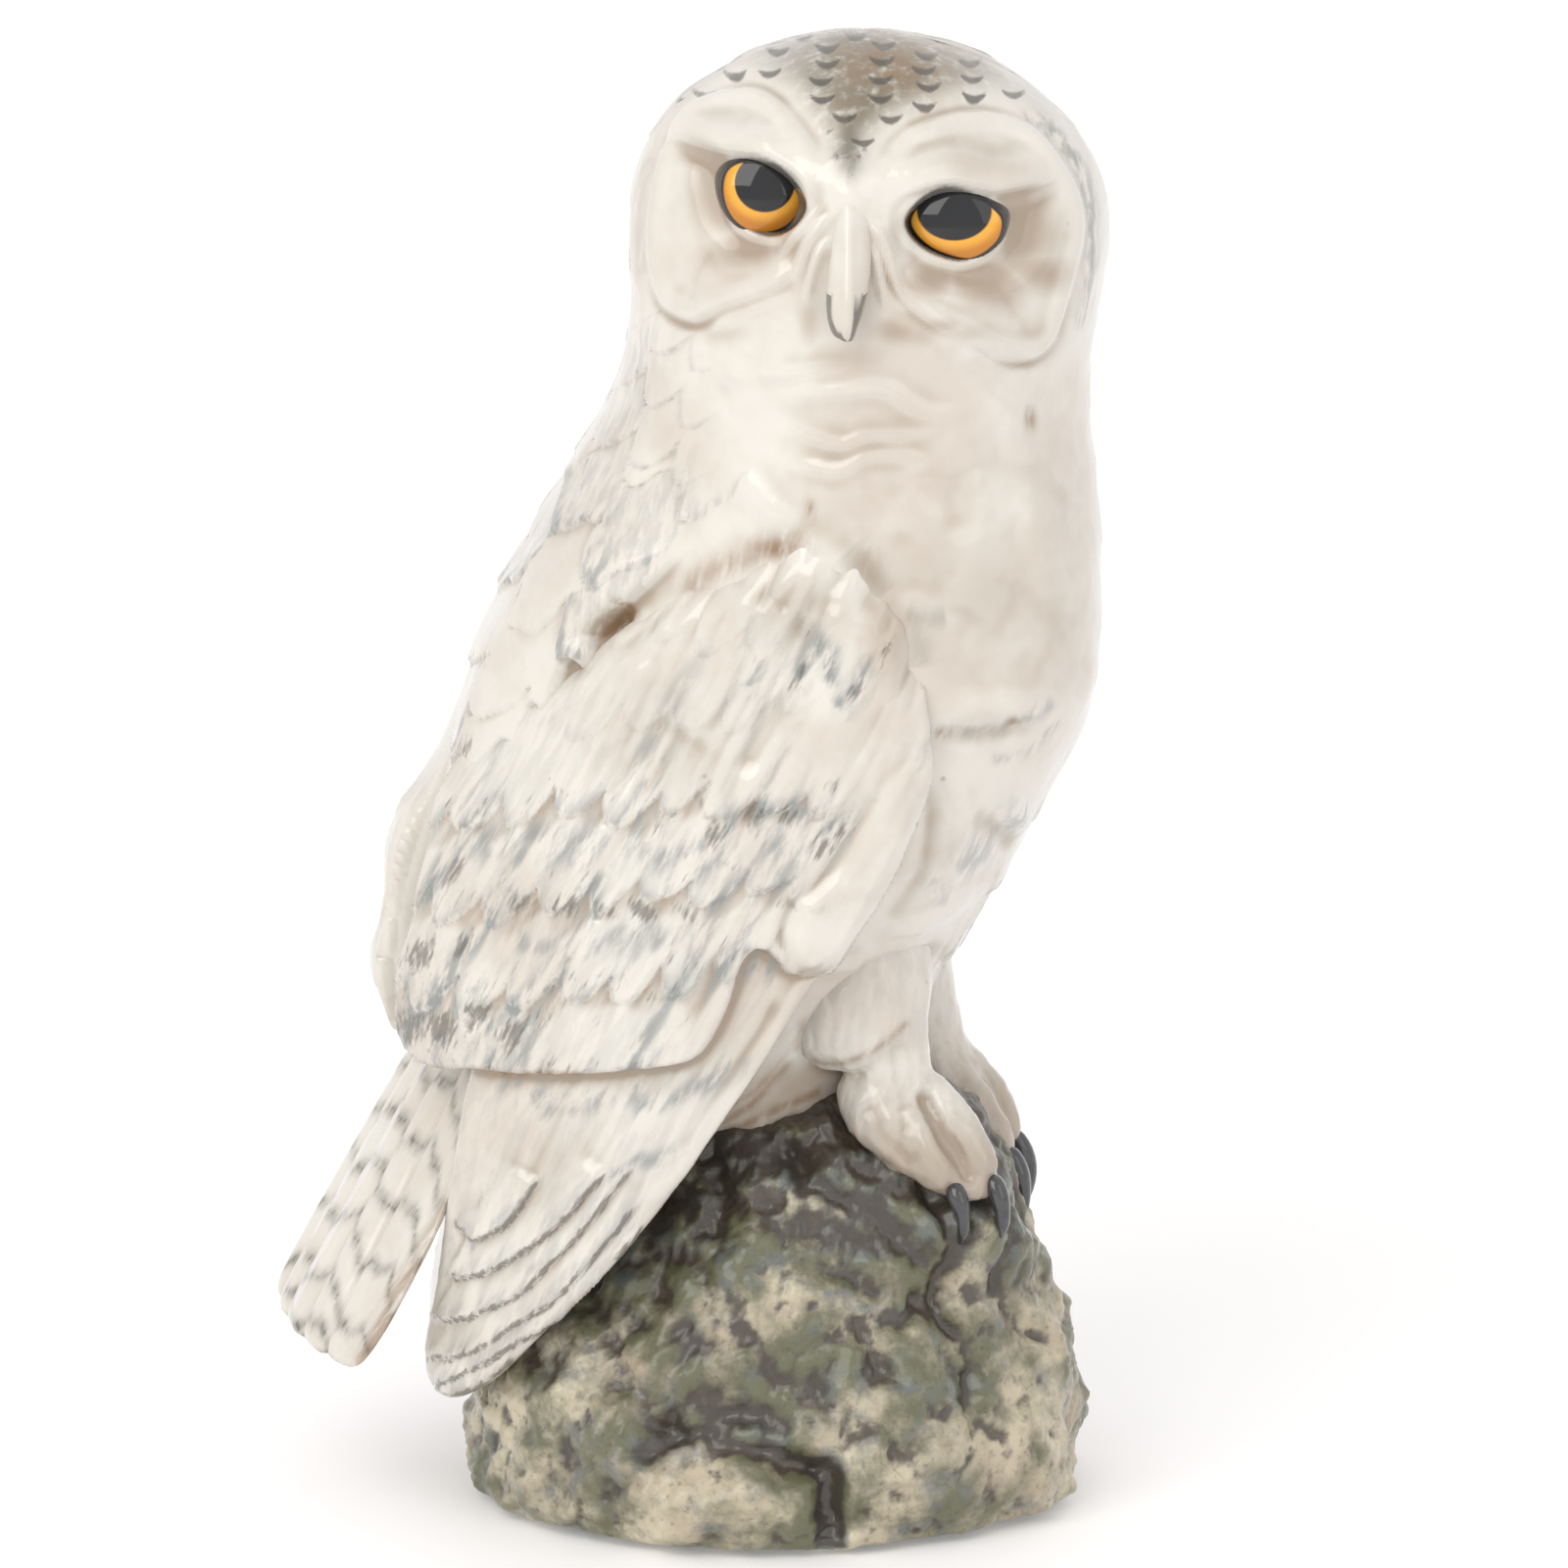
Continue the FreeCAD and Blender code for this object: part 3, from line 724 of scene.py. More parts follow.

# brushed colour and painted shade on body and head: bands are (line, reach, strength), spots are
# (u, w, across, up, strength)
bodyPaint = {
    "cap": [
        (-6, 156.4), (-1, 154.6), (2.8, 152.2), (5.6, 149.4), (7.4, 146.2), (8.6, 143.6), (10.2, 146),
        (12.6, 149), (16, 151), (20.6, 152.4), (26, 152.4), (31, 149.6), (34, 152), (26, 160), (10, 166),
        (-4, 161),
    ],
    "washes": [
        ([(27, 150.8), (31, 148.4), (34, 144.4), (35.4, 139), (35, 132), (33.6, 126)], 0.7, 0.75),
        ([(-13.4, 146), (-14.8, 140), (-14.6, 132)], 0.8, 0.4),
        ([(17.8, 81.8), (20, 82.6), (25, 83), (31, 86.4)], 0.8, 0.6),
        ([(24, 79.6), (28, 80.6), (32, 84.4)], 0.5, 0.6), ([(19, 83), (24, 82.6), (30, 85.4)], 1, 0.4),
        ([(20, 67.4), (24, 70.6), (28.6, 75)], 2, 0.7), ([(17, 69), (19, 64)], 1.4, 0.4),
        ([(10.6, 57.6), (14, 56.6), (19, 59.4)], 0.8, 0.5),
        ([(-14, 128), (-14.6, 120), (-18, 112), (-22, 106)], 2, 0.4),
    ],
    "stains": [
        ([(-18.6, 92.6), (-17.4, 94.6), (-15, 96.6)], 1, 1),
        ([(-9.6, 98.6), (-6.6, 100.2), (-2.6, 101.6), (2, 103.4), (4.4, 104.2)], 1.5, 0.5),
        ([(3.6, 47.4), (4.4, 50.8), (8, 53.2)], 1, 0.8), ([(5, 46.4), (9, 46.6), (13, 48.6)], 0.4, 0.8),
    ],
    "stainSpots": [
        (28.5, 116.8, 0.7, 1.2, 0.9), (4.4, 107, 0.6, 1.4, 0.7), (0.8, 102.6, 3.4, 1.3, 1),
        (10.6, 100.2, 1.8, 2.4, 0.4), (-8.6, 98.6, 1.6, 1.6, 0.6), (13.4, 155.4, 7.5, 3.6, 0.8),
        (8, 151, 4, 3, 0.4), (26.3, 84, 0.7, 0.6, 0.9), (18.7, 82.4, 0.6, 0.6, 0.7),
    ],
    "strands": [
        ([(-8, 38.6), (-2, 42), (2.6, 47)], 0.5, 0.7), ([(-6, 38.4), (0, 41), (6, 43.6)], 0.5, 0.75),
        ([(-6, 41), (-1, 44), (2.6, 49)], 0.45, 0.6), ([(-2, 39), (4, 41.2), (9, 42.4)], 0.45, 0.6),
    ],
    "fleckSpots": [
        (7.6, 145.2, 0.9, 1.6, 0.85), (10, 145.6, 0.8, 1.6, 0.8), (6.6, 148.2, 0.7, 1.2, 0.6),
        (8.8, 143.2, 0.5, 0.8, 0.7), (-31.9, 80.4, 1.4, 2.6, 0.8), (-29.4, 90.6, 1.6, 2.4, 0.55),
        (-26, 97.4, 1.2, 2.4, 0.5), (-19.4, 108.6, 1, 2, 0.6), (-17.6, 113.4, 0.9, 2, 0.5),
        (-34.4, 83.2, 1.2, 2, 0.6),
    ],
    "discShade": [
        (-7, 141.8, 2.8, 5.6, 1.05), (-4, 135, 4.6, 2.6, 0.85), (1.8, 135.6, 3, 2.4, 0.6),
        (29, 137.4, 3.6, 5, 1), (24.4, 131.4, 5, 2.6, 1.05), (17.6, 131.8, 3.6, 2.2, 1),
        (13.8, 137.4, 1.4, 3, 0.55), (29.6, 133, 3.4, 3, 0.9), (5.6, 140.6, 1.2, 3, 0.5),
    ],
    "shadeSpots": [
        (8.4, 123.2, 5, 2.4, 0.55), (14, 126.4, 3.4, 1.6, 0.75), (4.4, 127.6, 1.6, 3, 0.6),
        (18.4, 127.2, 3, 1, 0.6), (22, 126.4, 4, 1.2, 0.5), (10, 117, 7, 1.2, 0.3), (8, 113, 6, 1, 0.3),
        (-6, 126.2, 5, 1.4, 0.4), (20, 107, 6, 8, 0.5), (9, 107, 7, 5, 0.5), (22, 144.4, 8, 2.6, 0.5),
        (-5, 146.6, 5, 1.6, 0.3), (11, 114.6, 9, 5, 0.45), (23, 98, 10, 10, 0.55), (17, 101, 9, 9, 0.58),
        (9.6, 104.6, 4, 3, 0.5), (30.6, 128, 3, 5, 0.3), (8.6, 134, 5, 4, 0.25),
    ],
}


def makeBody():
    bm = ringStack(bodyRows, neck["segments"], 1.008)
    form = subdivided(show("bodyForm", meshFrom(bm, "bodyForm")), neck["levels"])
    mesh = form.data
    co, out = points(mesh), directions(mesh)
    u, w = faceOn(co)
    facing = out @ view
    front = ease(0.05, 0.35, facing)
    onHead = ease(116, 124, co[:, 2])
    height = 0.35 * roughness(co, 16.0, 2, 1.0) + 0.10 * roughness(co, 4.0, 2, 4.0)

    # down the back and flanks the feathers lie in soft rows
    girth = np.arctan2(co[:, 1] + 2.0, co[:, 0] - 10.0) * 25.0
    scale, tipGap, chance = featherHeight(-co[:, 2], girth, *plumes["backRow"], 2.0)
    back = (1 - front) * (1 - 0.6 * onHead) * (1 - 0.75 * ease(22, 32, co[:, 0]))
    height += plumes["backLift"] * scale * back
    wash = 0.45 * hump(tipGap, 1.2) * back
    fleck = 0.62 * hump(tipGap - 1.2, 1.0) * (chance > 0.45) * back
    tipGap, across, chance = feathers(-co[:, 2], girth, *plumes["crownRow"], 5.0, 0.5)
    far = (1 - front) * ease(150, 156, co[:, 2])
    drawn = 0.35 - np.abs(tipGap - 0.55) - 0.6 * ease(0.24, 0.34, np.abs(across))
    ink = np.where((far > 0.5) & (chance > 0.3), drawn, -1.0)

    # facial discs: a soft rim, a groove outside it, and a shallow dish
    disc, hollow, eyeGap = (
        np.maximum(*[insideRun(u, w, smoothRun(face[side + part], True)) for side in ("right", "left")])
        for part in ("Disc", "Hollow", "Eye"))
    rimmed = np.where(u < 8.8, ease(4.6, 0.4, u), ease(12.4, 17.0, u))
    rimmed = np.maximum(rimmed, 0.5 * ease(143, 148, w))
    height += front * rimmed * (0.7 * hump(disc - 1.0, 1.0) - 0.5 * hump(disc + 0.5, 0.7))
    height -= front * plumes["dishDepth"] * ease(1.0, 7.0, disc)
    height -= front * plumes["hollowDepth"] * ease(-0.6, 2.6, hollow)
    for name in ("rightBrow", "leftBrow"):
        height += front * lap(u, w, face[name], plumes["browLift"], 5.5, 0.45, 0.22)
    for line, reach, lift in headFolds + bodyFolds:
        height += front * ridge(u, w, line, reach, (1.0 if lift > 0 else 0.6) * lift, 0.34)
    height += front * (0.30 * hump(eyeGap + 0.7, 0.6) - plumes["socketDepth"] * ease(-0.25, 0.65, eyeGap))

    # the mantle over the wing, the hollow along the wing's top, and the small feathers of the neck
    s, c = math.sin(math.radians(38)), math.cos(math.radians(38))
    stray = 1.6 * roughness(co, 8.0, 2, 12.0)
    down, sideways = -(u * s + w * c) + stray, u * c - w * s + 0.8 * stray
    scale, tipGap, chance = featherHeight(down, sideways, *plumes["mantleRow"], 7.0, 0.6)
    gap, side = alongRun(u, w, smoothRun(mantle))[:2]
    onMantle = ease(-0.3, 0.5, gap * side) * ease(0, 5, 2.0 - u) * front * (1 - onHead)
    shoulder = onMantle * ease(0.15, 0.6, facing) * ease(-9, -17, u)
    height += plumes["mantleLift"] * shoulder * (1 - ease(4, 16, gap * side))
    height += plumes["backLift"] * scale * onMantle * ease(-4, -12, u)
    tipped = 0.55 * hump(tipGap - 1.0, 2.0) * (chance > 0.3) + 0.35 * (chance > 0.6)
    wash = np.maximum(wash, tipped * onMantle)
    marked = hump(tipGap - 1.6, 1.2) * (chance > 0.55)
    fleck = np.maximum(fleck, 0.5 * marked * onMantle * ease(4, 10, gap * side))
    height += front * ridge(u, w, crevice, 2.2, -0.5, 0.1)
    height -= front * 2.4 * blobs(u, w, [(-17.6, 94.2, 1.3, 2.6, 1.0)], 40.0)
    neckSide = front * ease(-4, -12, u) * ease(103, 112, w) * (1 - ease(124, 132, w))
    down, sideways = -(u * 0.5 + w * 0.87), u * 0.87 - w * 0.5
    small, smallGap, chance = featherHeight(down, sideways, *plumes["neckRow"], 9.0, 0.6)
    height += plumes["neckLift"] * small * neckSide
    wash = np.maximum(wash, 0.5 * hump(smallGap, 0.8) * neckSide)
    swell(mesh, height)

    # paint
    cap = insideRun(u, w, smoothRun(bodyPaint["cap"], True))
    olive = front * ease(-1.2, 3.0, cap) * (0.35 + 0.65 * hump(u - 12.5, 11.0))
    bridge = hump(u - 8.8, 1.7) * ease(141.0, 145.0, w) * ease(-3.4, 0.2, cap)
    olive = np.maximum(olive, front * 0.95 * bridge)
    olive = np.maximum(olive, (1 - front) * 0.4 * ease(150, 160, co[:, 2]))
    olive = np.maximum(olive, front * bands(u, w, wingHollows))
    for x, y in crown["crescents"]:
        t = (u - x) / crown["crescentWidth"]
        bow = y - 0.55 + 0.75 * t * t
        thick = crown["crescentThickness"] * np.sqrt(np.clip(1 - t * t, 0, 1))
        ink = np.maximum(ink, np.where(np.abs(t) < 1, front * (thick - np.abs(w - bow)), -1))
    ink = np.maximum(ink, np.where(front > 0.5, eyeGap + 0.34, -1))
    wash = np.maximum(wash, front * bands(u, w, bodyPaint["washes"]))
    stain = front * bands(u, w, bodyPaint["stains"])
    stain = np.maximum(stain, front * blobs(u, w, bodyPaint["stainSpots"], 0.0))
    fleck = np.maximum(fleck, front * blobs(u, w, bodyPaint["fleckSpots"]))
    # painted shade: the eye hollows, the disc hollows, the grooves of the folds, the breast's far side and
    # the underside of the belly
    shade = front * 0.42 * ease(-0.6, 2.6, hollow)
    shade = np.maximum(shade, front * ease(-1.2, 1.2, disc) * blobs(u, w, bodyPaint["discShade"], 0.0))
    shade = np.maximum(shade, front * blobs(u, w, bodyPaint["shadeSpots"], 0.0))
    grooves = [(line, 1.6, 0.30) for line, reach, lift in bodyFolds if lift < 0]
    shade = np.maximum(shade, front * bands(u, w, grooves))
    shade = np.maximum(shade, 0.42 * ease(14, 32, u) * ease(122, 100, w) * ease(80, 90, w) * front)
    under = ease(50, 44, w) * ease(16, 10, u) * (co[:, 1] < 4)
    shade = np.maximum(shade, 0.62 * under)
    stain = np.maximum(stain, under * bands(u + stray * 0.3, w + stray * 0.2, bodyPaint["strands"]))
    paintAll(mesh, wash=wash, fleck=fleck, ink=ink, olive=olive, stain=stain, shade=shade,
             hollow=plumes["creaseShade"] * creases(mesh, 14))
    return form


# where the surface is at (u, w) as seen from the front
def surfaceAt(mesh, u, w):
    co = points(mesh)
    here, up = faceOn(co)
    near = np.hypot(here - u, up - w) + 1000.0 * (directions(mesh) @ view < 0.2)
    return co[np.argsort(near)[:6], 1].mean()


def parted(form, name, keepAbove):
    bm = bmesh.new()
    bm.from_mesh(form.data)
    cut = bmesh.ops.bisect_plane(
        bm, geom=bm.verts[:] + bm.edges[:] + bm.faces[:], dist=1e-5,
        plane_co=(0, 0, neck["level"]), plane_no=(0, 0, 1),
        clear_inner=keepAbove, clear_outer=not keepAbove)
    rim = [part for part in cut["geom_cut"] if isinstance(part, bmesh.types.BMEdge)]
    bmesh.ops.edgeloop_fill(bm, edges=rim)
    for edge in rim:
        edge.smooth = False
    return show(name, meshFrom(bm, name))


wing = {
    "thickness": 5,
    "voxel": 0.42,
    "smoothing": 8,
    "panelLift": 1.3,            # how far the coverts stand over the flight feathers
    "covert": (9.4, 5.2),        # how long and how wide
    "covertLift": 0.62,
    "covertLean": 27,
    "barbLift": 0.13,
    "plumeLift": 0.42,
    "lobeLift": 0.9,
    "creaseShade": 2.2,
}

wingOutline = [
    (4, 104.8), (8.8, 102.4), (12.6, 98.6), (15.6, 93.9), (17.2, 88.6), (17.6, 83.5), (17, 78),
    (15.4, 72.8), (12.4, 66.3), (8.4, 59.8), (4.6, 54.6), (-0.4, 46.6), (-5.6, 39), (-9.6, 33.2),
    (-13.4, 28.2), (-18.4, 22.8), (-25.8, 15.2), (-30.8, 10.4), (-35.6, 8.2), (-38.2, 10.2), (-38.6, 14.4),
    (-37.4, 20.8), (-36, 30.8), (-34.2, 41.6), (-33.4, 46), (-37.6, 46.4), (-40.8, 48.6), (-41, 52),
    (-39.8, 58), (-38.2, 65.4), (-36.7, 71.7), (-35.6, 76.2), (-32, 82), (-27, 86.4), (-22, 90),
    (-17.8, 93.4), (-12, 97.4), (-6, 100.4), (0, 103),
]

farOutline = wingOutline[:25] + [
    (-38, 47), (-42, 48), (-46, 52), (-46, 70), (-42, 78), (-34, 86),
] + wingOutline[34:]

wingShell = [
    (2, -22, 0, 18, 18.6, 0), (12, -20.6, 0, 20.6, 21, 0), (24, -17.4, 0, 23.6, 22.4, 0),
    (36, -14.8, 0, 26.2, 23.4, 0), (46, -12.2, 0, 29.2, 24, 0), (54, -9.6, 0, 32.2, 24.4, 0),
    (63, -7.6, 0, 34.2, 24.8, 1), (72, -5, 0, 34.6, 25.2, -1), (81, -1.6, 0, 34.4, 25.4, -7),
    (90, 2.2, 0, 34.8, 25.6, -14), (97, 3.4, 0, 34.6, 25.4, -19), (104, 4.6, 0, 33, 24.7, -23),
    (112, 6.8, -0.6, 30.2, 23.8, -28), (120, 8.3, -1.2, 26.2, 23, -26),
]

# the lower edges of the flight feathers, one lying over the next, and of the panel above them
flightEdges = [
    [(-34.6, 29.6), (-33.4, 28.2), (-31.6, 27.4), (-29, 28.6), (-27, 30.9), (-25, 34.4)],
    [(-36.2, 24.4), (-34.6, 23.2), (-30.9, 23.6), (-27.6, 25.4), (-25.3, 27.1), (-21.9, 30), (-17.4, 35.4)],
    [(-37.8, 20), (-36.4, 18.6), (-32.8, 18.8), (-29.1, 20.4), (-26.2, 22.1), (-23.9, 24.5), (-19.8, 29),
     (-14.2, 36.2)],
    [(-38.4, 16.4), (-36.6, 14.4), (-33.4, 14.6), (-30.2, 16.2), (-26.6, 18.5), (-22.9, 21.2), (-18.6, 26),
     (-13.4, 32.4)],
    [(-38, 13.2), (-35.6, 11.8), (-32.8, 12.8), (-29.6, 14.6), (-25.7, 16.9), (-21.4, 19.8), (-17.4, 24.4),
     (-12.8, 30)],
    [(-37, 11.2), (-34, 10.2), (-30.6, 12), (-27.6, 14.4)],
]
panelEdge = [
    (-44, 51), (-40.4, 49.4), (-38.4, 46.8), (-35, 46.8), (-31.6, 46.2), (-26, 45.6), (-19, 45.8),
    (-11.2, 46.6), (-7.6, 48), (-5, 52.4), (-3.4, 57.2), (-1.6, 59.4), (0.4, 58.6), (2, 56.8), (4.2, 56.4),
    (6.6, 57.4), (10, 62), (14.6, 68),
]

# the smooth long feathers lying beside the panel on the wing's front edge
edgeLobe = [(2.6, 64), (1.4, 60.4), (3.2, 57.4), (6, 57.6), (9.2, 62), (12.4, 67.6), (14.8, 74), (15.6, 80),
            (12.6, 78), (10.4, 73.2), (6.8, 67.8)]

wingFlecks = [
    (-33.2, 67, 1, 2.8, 1), (-36.8, 58.3, 1.6, 3.2, 0.9), (-32.7, 59.2, 1.2, 2.4, 0.8),
    (-38.2, 50.6, 2.6, 2.4, 1), (-34.6, 50.6, 2.4, 2.6, 1), (-30.8, 52.2, 2, 3, 0.85),
    (-27.6, 49.8, 1.8, 3, 0.9), (-24.4, 51, 1.6, 3, 0.7), (-26.1, 63.9, 2.2, 2, 0.8),
    (-21.4, 63.9, 2, 2, 0.85), (-17.4, 63.4, 1.8, 1.6, 0.8), (-13.6, 63.6, 2.4, 1.6, 0.9),
    (-8.8, 63.2, 2.4, 1.4, 0.75), (5.4, 70.6, 1.8, 2.2, 0.9), (7.8, 72.4, 1.6, 2.4, 0.75),
    (-1.6, 73.6, 1.8, 2.2, 0.85), (2, 73.8, 1.8, 1.8, 0.8), (-5.7, 71.9, 1.4, 2.2, 0.75),
    (6.8, 77.2, 1, 1.4, 0.75), (-22.8, 75.6, 0.8, 2.4, 0.75), (-29.9, 75, 0.6, 0.8, 0.7),
    (-12, 72.6, 1.2, 2.6, 0.65), (-12.4, 54, 1.2, 2.4, 0.6), (-9.4, 52, 1, 2.4, 0.5),
    (3.4, 88.8, 1, 3, 0.7), (6.6, 90.6, 1, 3, 0.7), (9.4, 87.6, 1, 3, 0.7), (12.2, 91, 0.9, 3.6, 0.7),
    (-1.3, 86.4, 1, 1.8, 0.55), (-15.9, 86.2, 0.8, 1.6, 0.55), (-4.6, 68.6, 2.4, 1.2, 0.5),
    (0.8, 64.2, 1.6, 1.2, 0.5),
]

wingWashes = [
    ([(-36, 69.5), (-30, 71.5), (-22, 70.5), (-16, 71.8), (-10, 69.6), (-3, 70.2), (5, 69.4)], 2.4, 0.75),
    ([(-5, 73.6), (0, 74.4), (6, 72.6), (9, 71)], 1.8, 0.9),
    ([(-28, 60.4), (-21, 59.6), (-13, 61), (-8, 61.4)], 1.5, 0.7),
    ([(-31, 56), (-29, 51), (-28, 47.5)], 1.2, 0.6), ([(-5.2, 57.8), (-2, 58.6), (1.6, 57)], 1.5, 1),
    ([(2.4, 87), (4.4, 91), (6.8, 92.6), (7.2, 88.4)], 1.3, 0.9),
    ([(8, 86.6), (10.6, 89.6), (12.6, 93)], 1.2, 0.9), ([(-2, 87), (-1, 90.6)], 1.2, 0.7),
    ([(-31, 43.8), (-24, 42.6), (-14, 42.8), (-7, 44.4), (-2, 48.6)], 1.6, 0.75),
    ([(-17, 35.6), (-13.6, 35.2), (-10.4, 36.6)], 1.2, 0.7), ([(-35, 25.8), (-32.6, 25.2)], 1.2, 0.6),
    ([(-28, 22.2), (-23.6, 26.2)], 1, 0.5), ([(-33, 84), (-30, 86), (-29, 91)], 2, 0.5),
]


wingFolds = [
    ([(1.6, 54), (-4, 45), (-10, 36)], 1.1, -0.5), ([(0, 98), (-4, 90), (-9, 82)], 3.5, 0.7),
    ([(9, 97), (7, 88), (3, 80)], 2.4, 0.6), ([(4.6, 96), (2, 87), (-3, 78)], 1.6, -0.5),
    ([(-14, 92), (-18, 84), (-23, 76)], 2.4, 0.6),
]

wingStains = [
    ([(-32, 46.2), (-28, 45.4), (-24, 45.8), (-20, 45.6)], 0.45, 1),
    ([(-33.4, 45), (-35.6, 33), (-37.2, 22)], 0.6, 0.35),
    ([(-36, 10.2), (-31, 11.2), (-25, 16), (-19, 22.4)], 0.6, 0.5),
    ([(-9.6, 98.2), (-6.6, 99.4), (-2.6, 101), (2, 102.4)], 0.9, 0.5),
]

wingShades = [
    (3, 96.6, 9, 5, 0.56), (-24, 35, 8, 9, 0.35), (-9, 82, 9, 9, 0.42), (13, 94, 4, 7, 0.68),
    (-12, 44, 10, 2, 0.4), (12, 84, 3, 8, 0.3),
]


def shellForm(name, inset):
    rows = [(level, ahead, side, long - inset, wide - inset, turn)
            for level, ahead, side, long, wide, turn in wingShell]
    return subdivided(show(name, meshFrom(ringStack(rows, 28, 1.008), name)), 2)


# the outline, pushed back along the line of sight as a thick plate
def outlinePlate(name, outline, front, back):
    bm = bmesh.new()
    rim = [bm.verts.new(behindView(u, w, front)) for u, w in smoothRun(outline, True, 4)]
    cap = bm.faces.new(rim)
    grown = bmesh.ops.extrude_face_region(bm, geom=[cap])["geom"]
    far = [part for part in grown if isinstance(part, bmesh.types.BMVert)]
    tilt = math.radians(studio["tilt"])
    along = Vector((0, math.cos(tilt), -math.sin(tilt))) * (back - front) / math.cos(tilt)
    bmesh.ops.translate(bm, vec=along, verts=far)
    bmesh.ops.recalc_face_normals(bm, faces=bm.faces[:])
    return show(name, meshFrom(bm, name))


def trimmed(piece, tool, operation):
    step = piece.modifiers.new("trim", "BOOLEAN")
    step.operation = operation
    step.object = tool
    step.solver = "EXACT"
    applyAll(piece)


def shellPart(name, outline, front, back, flip):
    outer, inner = shellForm("outerShell", 0.0), shellForm("innerShell", wing["thickness"])
    piece = outlinePlate(name, outline, front, back)
    if flip:
        bm = bmesh.new()
        bm.from_mesh(piece.data)
        bmesh.ops.scale(bm, vec=(1, -1, 1), verts=bm.verts[:])
        bmesh.ops.reverse_faces(bm, faces=bm.faces[:])
        bm.to_mesh(piece.data)
        bm.free()
    trimmed(piece, outer, "INTERSECT")
    trimmed(piece, inner, "DIFFERENCE")
    bpy.data.objects.remove(outer)
    bpy.data.objects.remove(inner)
    return piece


def dressWing(piece, flip):
    mesh = piece.data
    co, out = points(mesh), directions(mesh)
    if flip:
        co = co * np.array([1.0, -1.0, 1.0])
        out = out * np.array([1.0, -1.0, 1.0])
    u, w = faceOn(co)
    outer = ease(0.0, 0.4, out @ view)
    gap, side = alongRun(u, w, smoothRun(panelEdge))[:2]
    panel = ease(-0.45, 0.25, gap * side)
    panel = np.where(w > 60.0, np.maximum(panel, ease(60, 64, w) * (u < 4)), panel)
    height = wing["panelLift"] * panel
    edge = insideRun(u, w, smoothRun(wingOutline, True))
    lobe = insideRun(u, w, smoothRun(edgeLobe, True))

    # coverts in slanting rows, flattening out towards the shoulder and the leading edge
    lean = math.tan(math.radians(wing["covertLean"]))
    stray = 1.3 * roughness(co, 9.0, 2, 14.0)
    down, sideways = -(w - 0.10 * u) - 1.2 + stray, u - (w - 60) * lean + 0.6 * stray
    scale, tipGap, chance = featherHeight(down, sideways, *wing["covert"], 3.0, 0.30, 1.1)
    calm = (1 - 0.7 * ease(74, 82, w)) * (1 - 0.8 * ease(3, 9, u - 0.1 * (w - 60)))
    height += panel * calm * wing["covertLift"] * scale
    lie = np.stack([u - w * lean, w * 0.17, co[:, 1] * 0.3], axis=1)
    barbs, tufts = roughness(lie, 1.3, 2, 3.0), roughness(lie, 3.6, 2, 6.0)
    height += wing["barbLift"] * barbs + wing["plumeLift"] * tufts * (0.35 + 0.65 * panel)
    grooves = ease(0.0, -0.5, tufts)
    wash = panel * (0.50 * hump(tipGap, 1.4) * calm + 0.45 * grooves * ease(90, 74, w) + 0.25 * grooves)
    wash += 0.20 * ease(4, -14, u) * ease(96, 80, w)
    inLobe = ease(-0.2, 0.8, lobe)
    wash = wash * (1 - 0.85 * inLobe)
    fleck = panel * 0.50 * calm * hump(tipGap - 2.2, 1.8) * (chance > 0.25) * ease(10, -4, u)
    fleck = np.maximum(fleck, panel * 0.42 * hump(w - 54.0, 5.0) * ease(-8.0, -22.0, u))
    fleck = np.maximum(fleck, 0.34 * grooves * panel * ease(76, 86, w))
    for index, line in enumerate(flightEdges):
        height += (1 - panel) * lap(u, w, line, 0.8 - 0.06 * index, 6.0, 0.3, 0.1)
        drawn = ridge(u + 0.25 * barbs, w + 0.5 * barbs, line, 0.55, 1.0, 0.08)
        fleck = np.maximum(fleck, drawn)
        wash = np.maximum(wash, 0.5 * ridge(u, w - 0.8, line, 1.3, 1.0, 0.1))
    height += 0.45 * hump(edge - 1.2, 0.9) * ease(84, 76, w) * ease(-26, -10, u)
    height -= 1.9 * ease(4.6, 0.2, edge + 0.8 * tufts) * ease(78, 90, w) * ease(-34, -20, u)
    height += wing["lobeLift"] * ease(-0.4, 1.6, lobe) - 0.35 * hump(lobe + 0.5, 0.6) * ease(78, 70, w)
    for line, reach, lift in wingFolds:
        height += ridge(u, w, line, reach, lift)
    height = height * outer
    if flip:
        rolls = hump(co[:, 2] - 72.0, 5.0) + hump(co[:, 2] - 59.0, 5.0)
        height += 1.7 * ease(0.55, 0.9, -out[:, 0]) * rolls
    swell(mesh, height)
    stain = bands(u, w, wingStains)
    shade = 0.5 * ease(0.0, 2.2, tipGap - 7.2) * panel * calm + 0.35 * (1 - panel) * ease(40, 46, w)
    shade = np.maximum(shade, blobs(u, w, wingShades, 0.0))
    shade = np.maximum(shade, 0.45 * ease(0.9, 0.0, edge) * ease(60, 50, w))
    wash = np.maximum(wash, 1.2 * bands(u + 1.5 * tufts, w + 2.5 * tufts, wingWashes))
    fleck = np.maximum(fleck, 1.1 * blobs(u, w, wingFlecks))
    paintAll(mesh, wash=wash * outer, fleck=fleck * outer, stain=stain * outer, shade=shade,
             ink=np.full(u.shape, -1.0), hollow=wing["creaseShade"] * creases(mesh, 10))
    return piece


def makeWing(name, outline, back, flip):
    piece = shellPart(name, outline, -50.0, back, flip)
    return dressWing(remeshed(piece, wing["voxel"], wing["smoothing"]), flip)


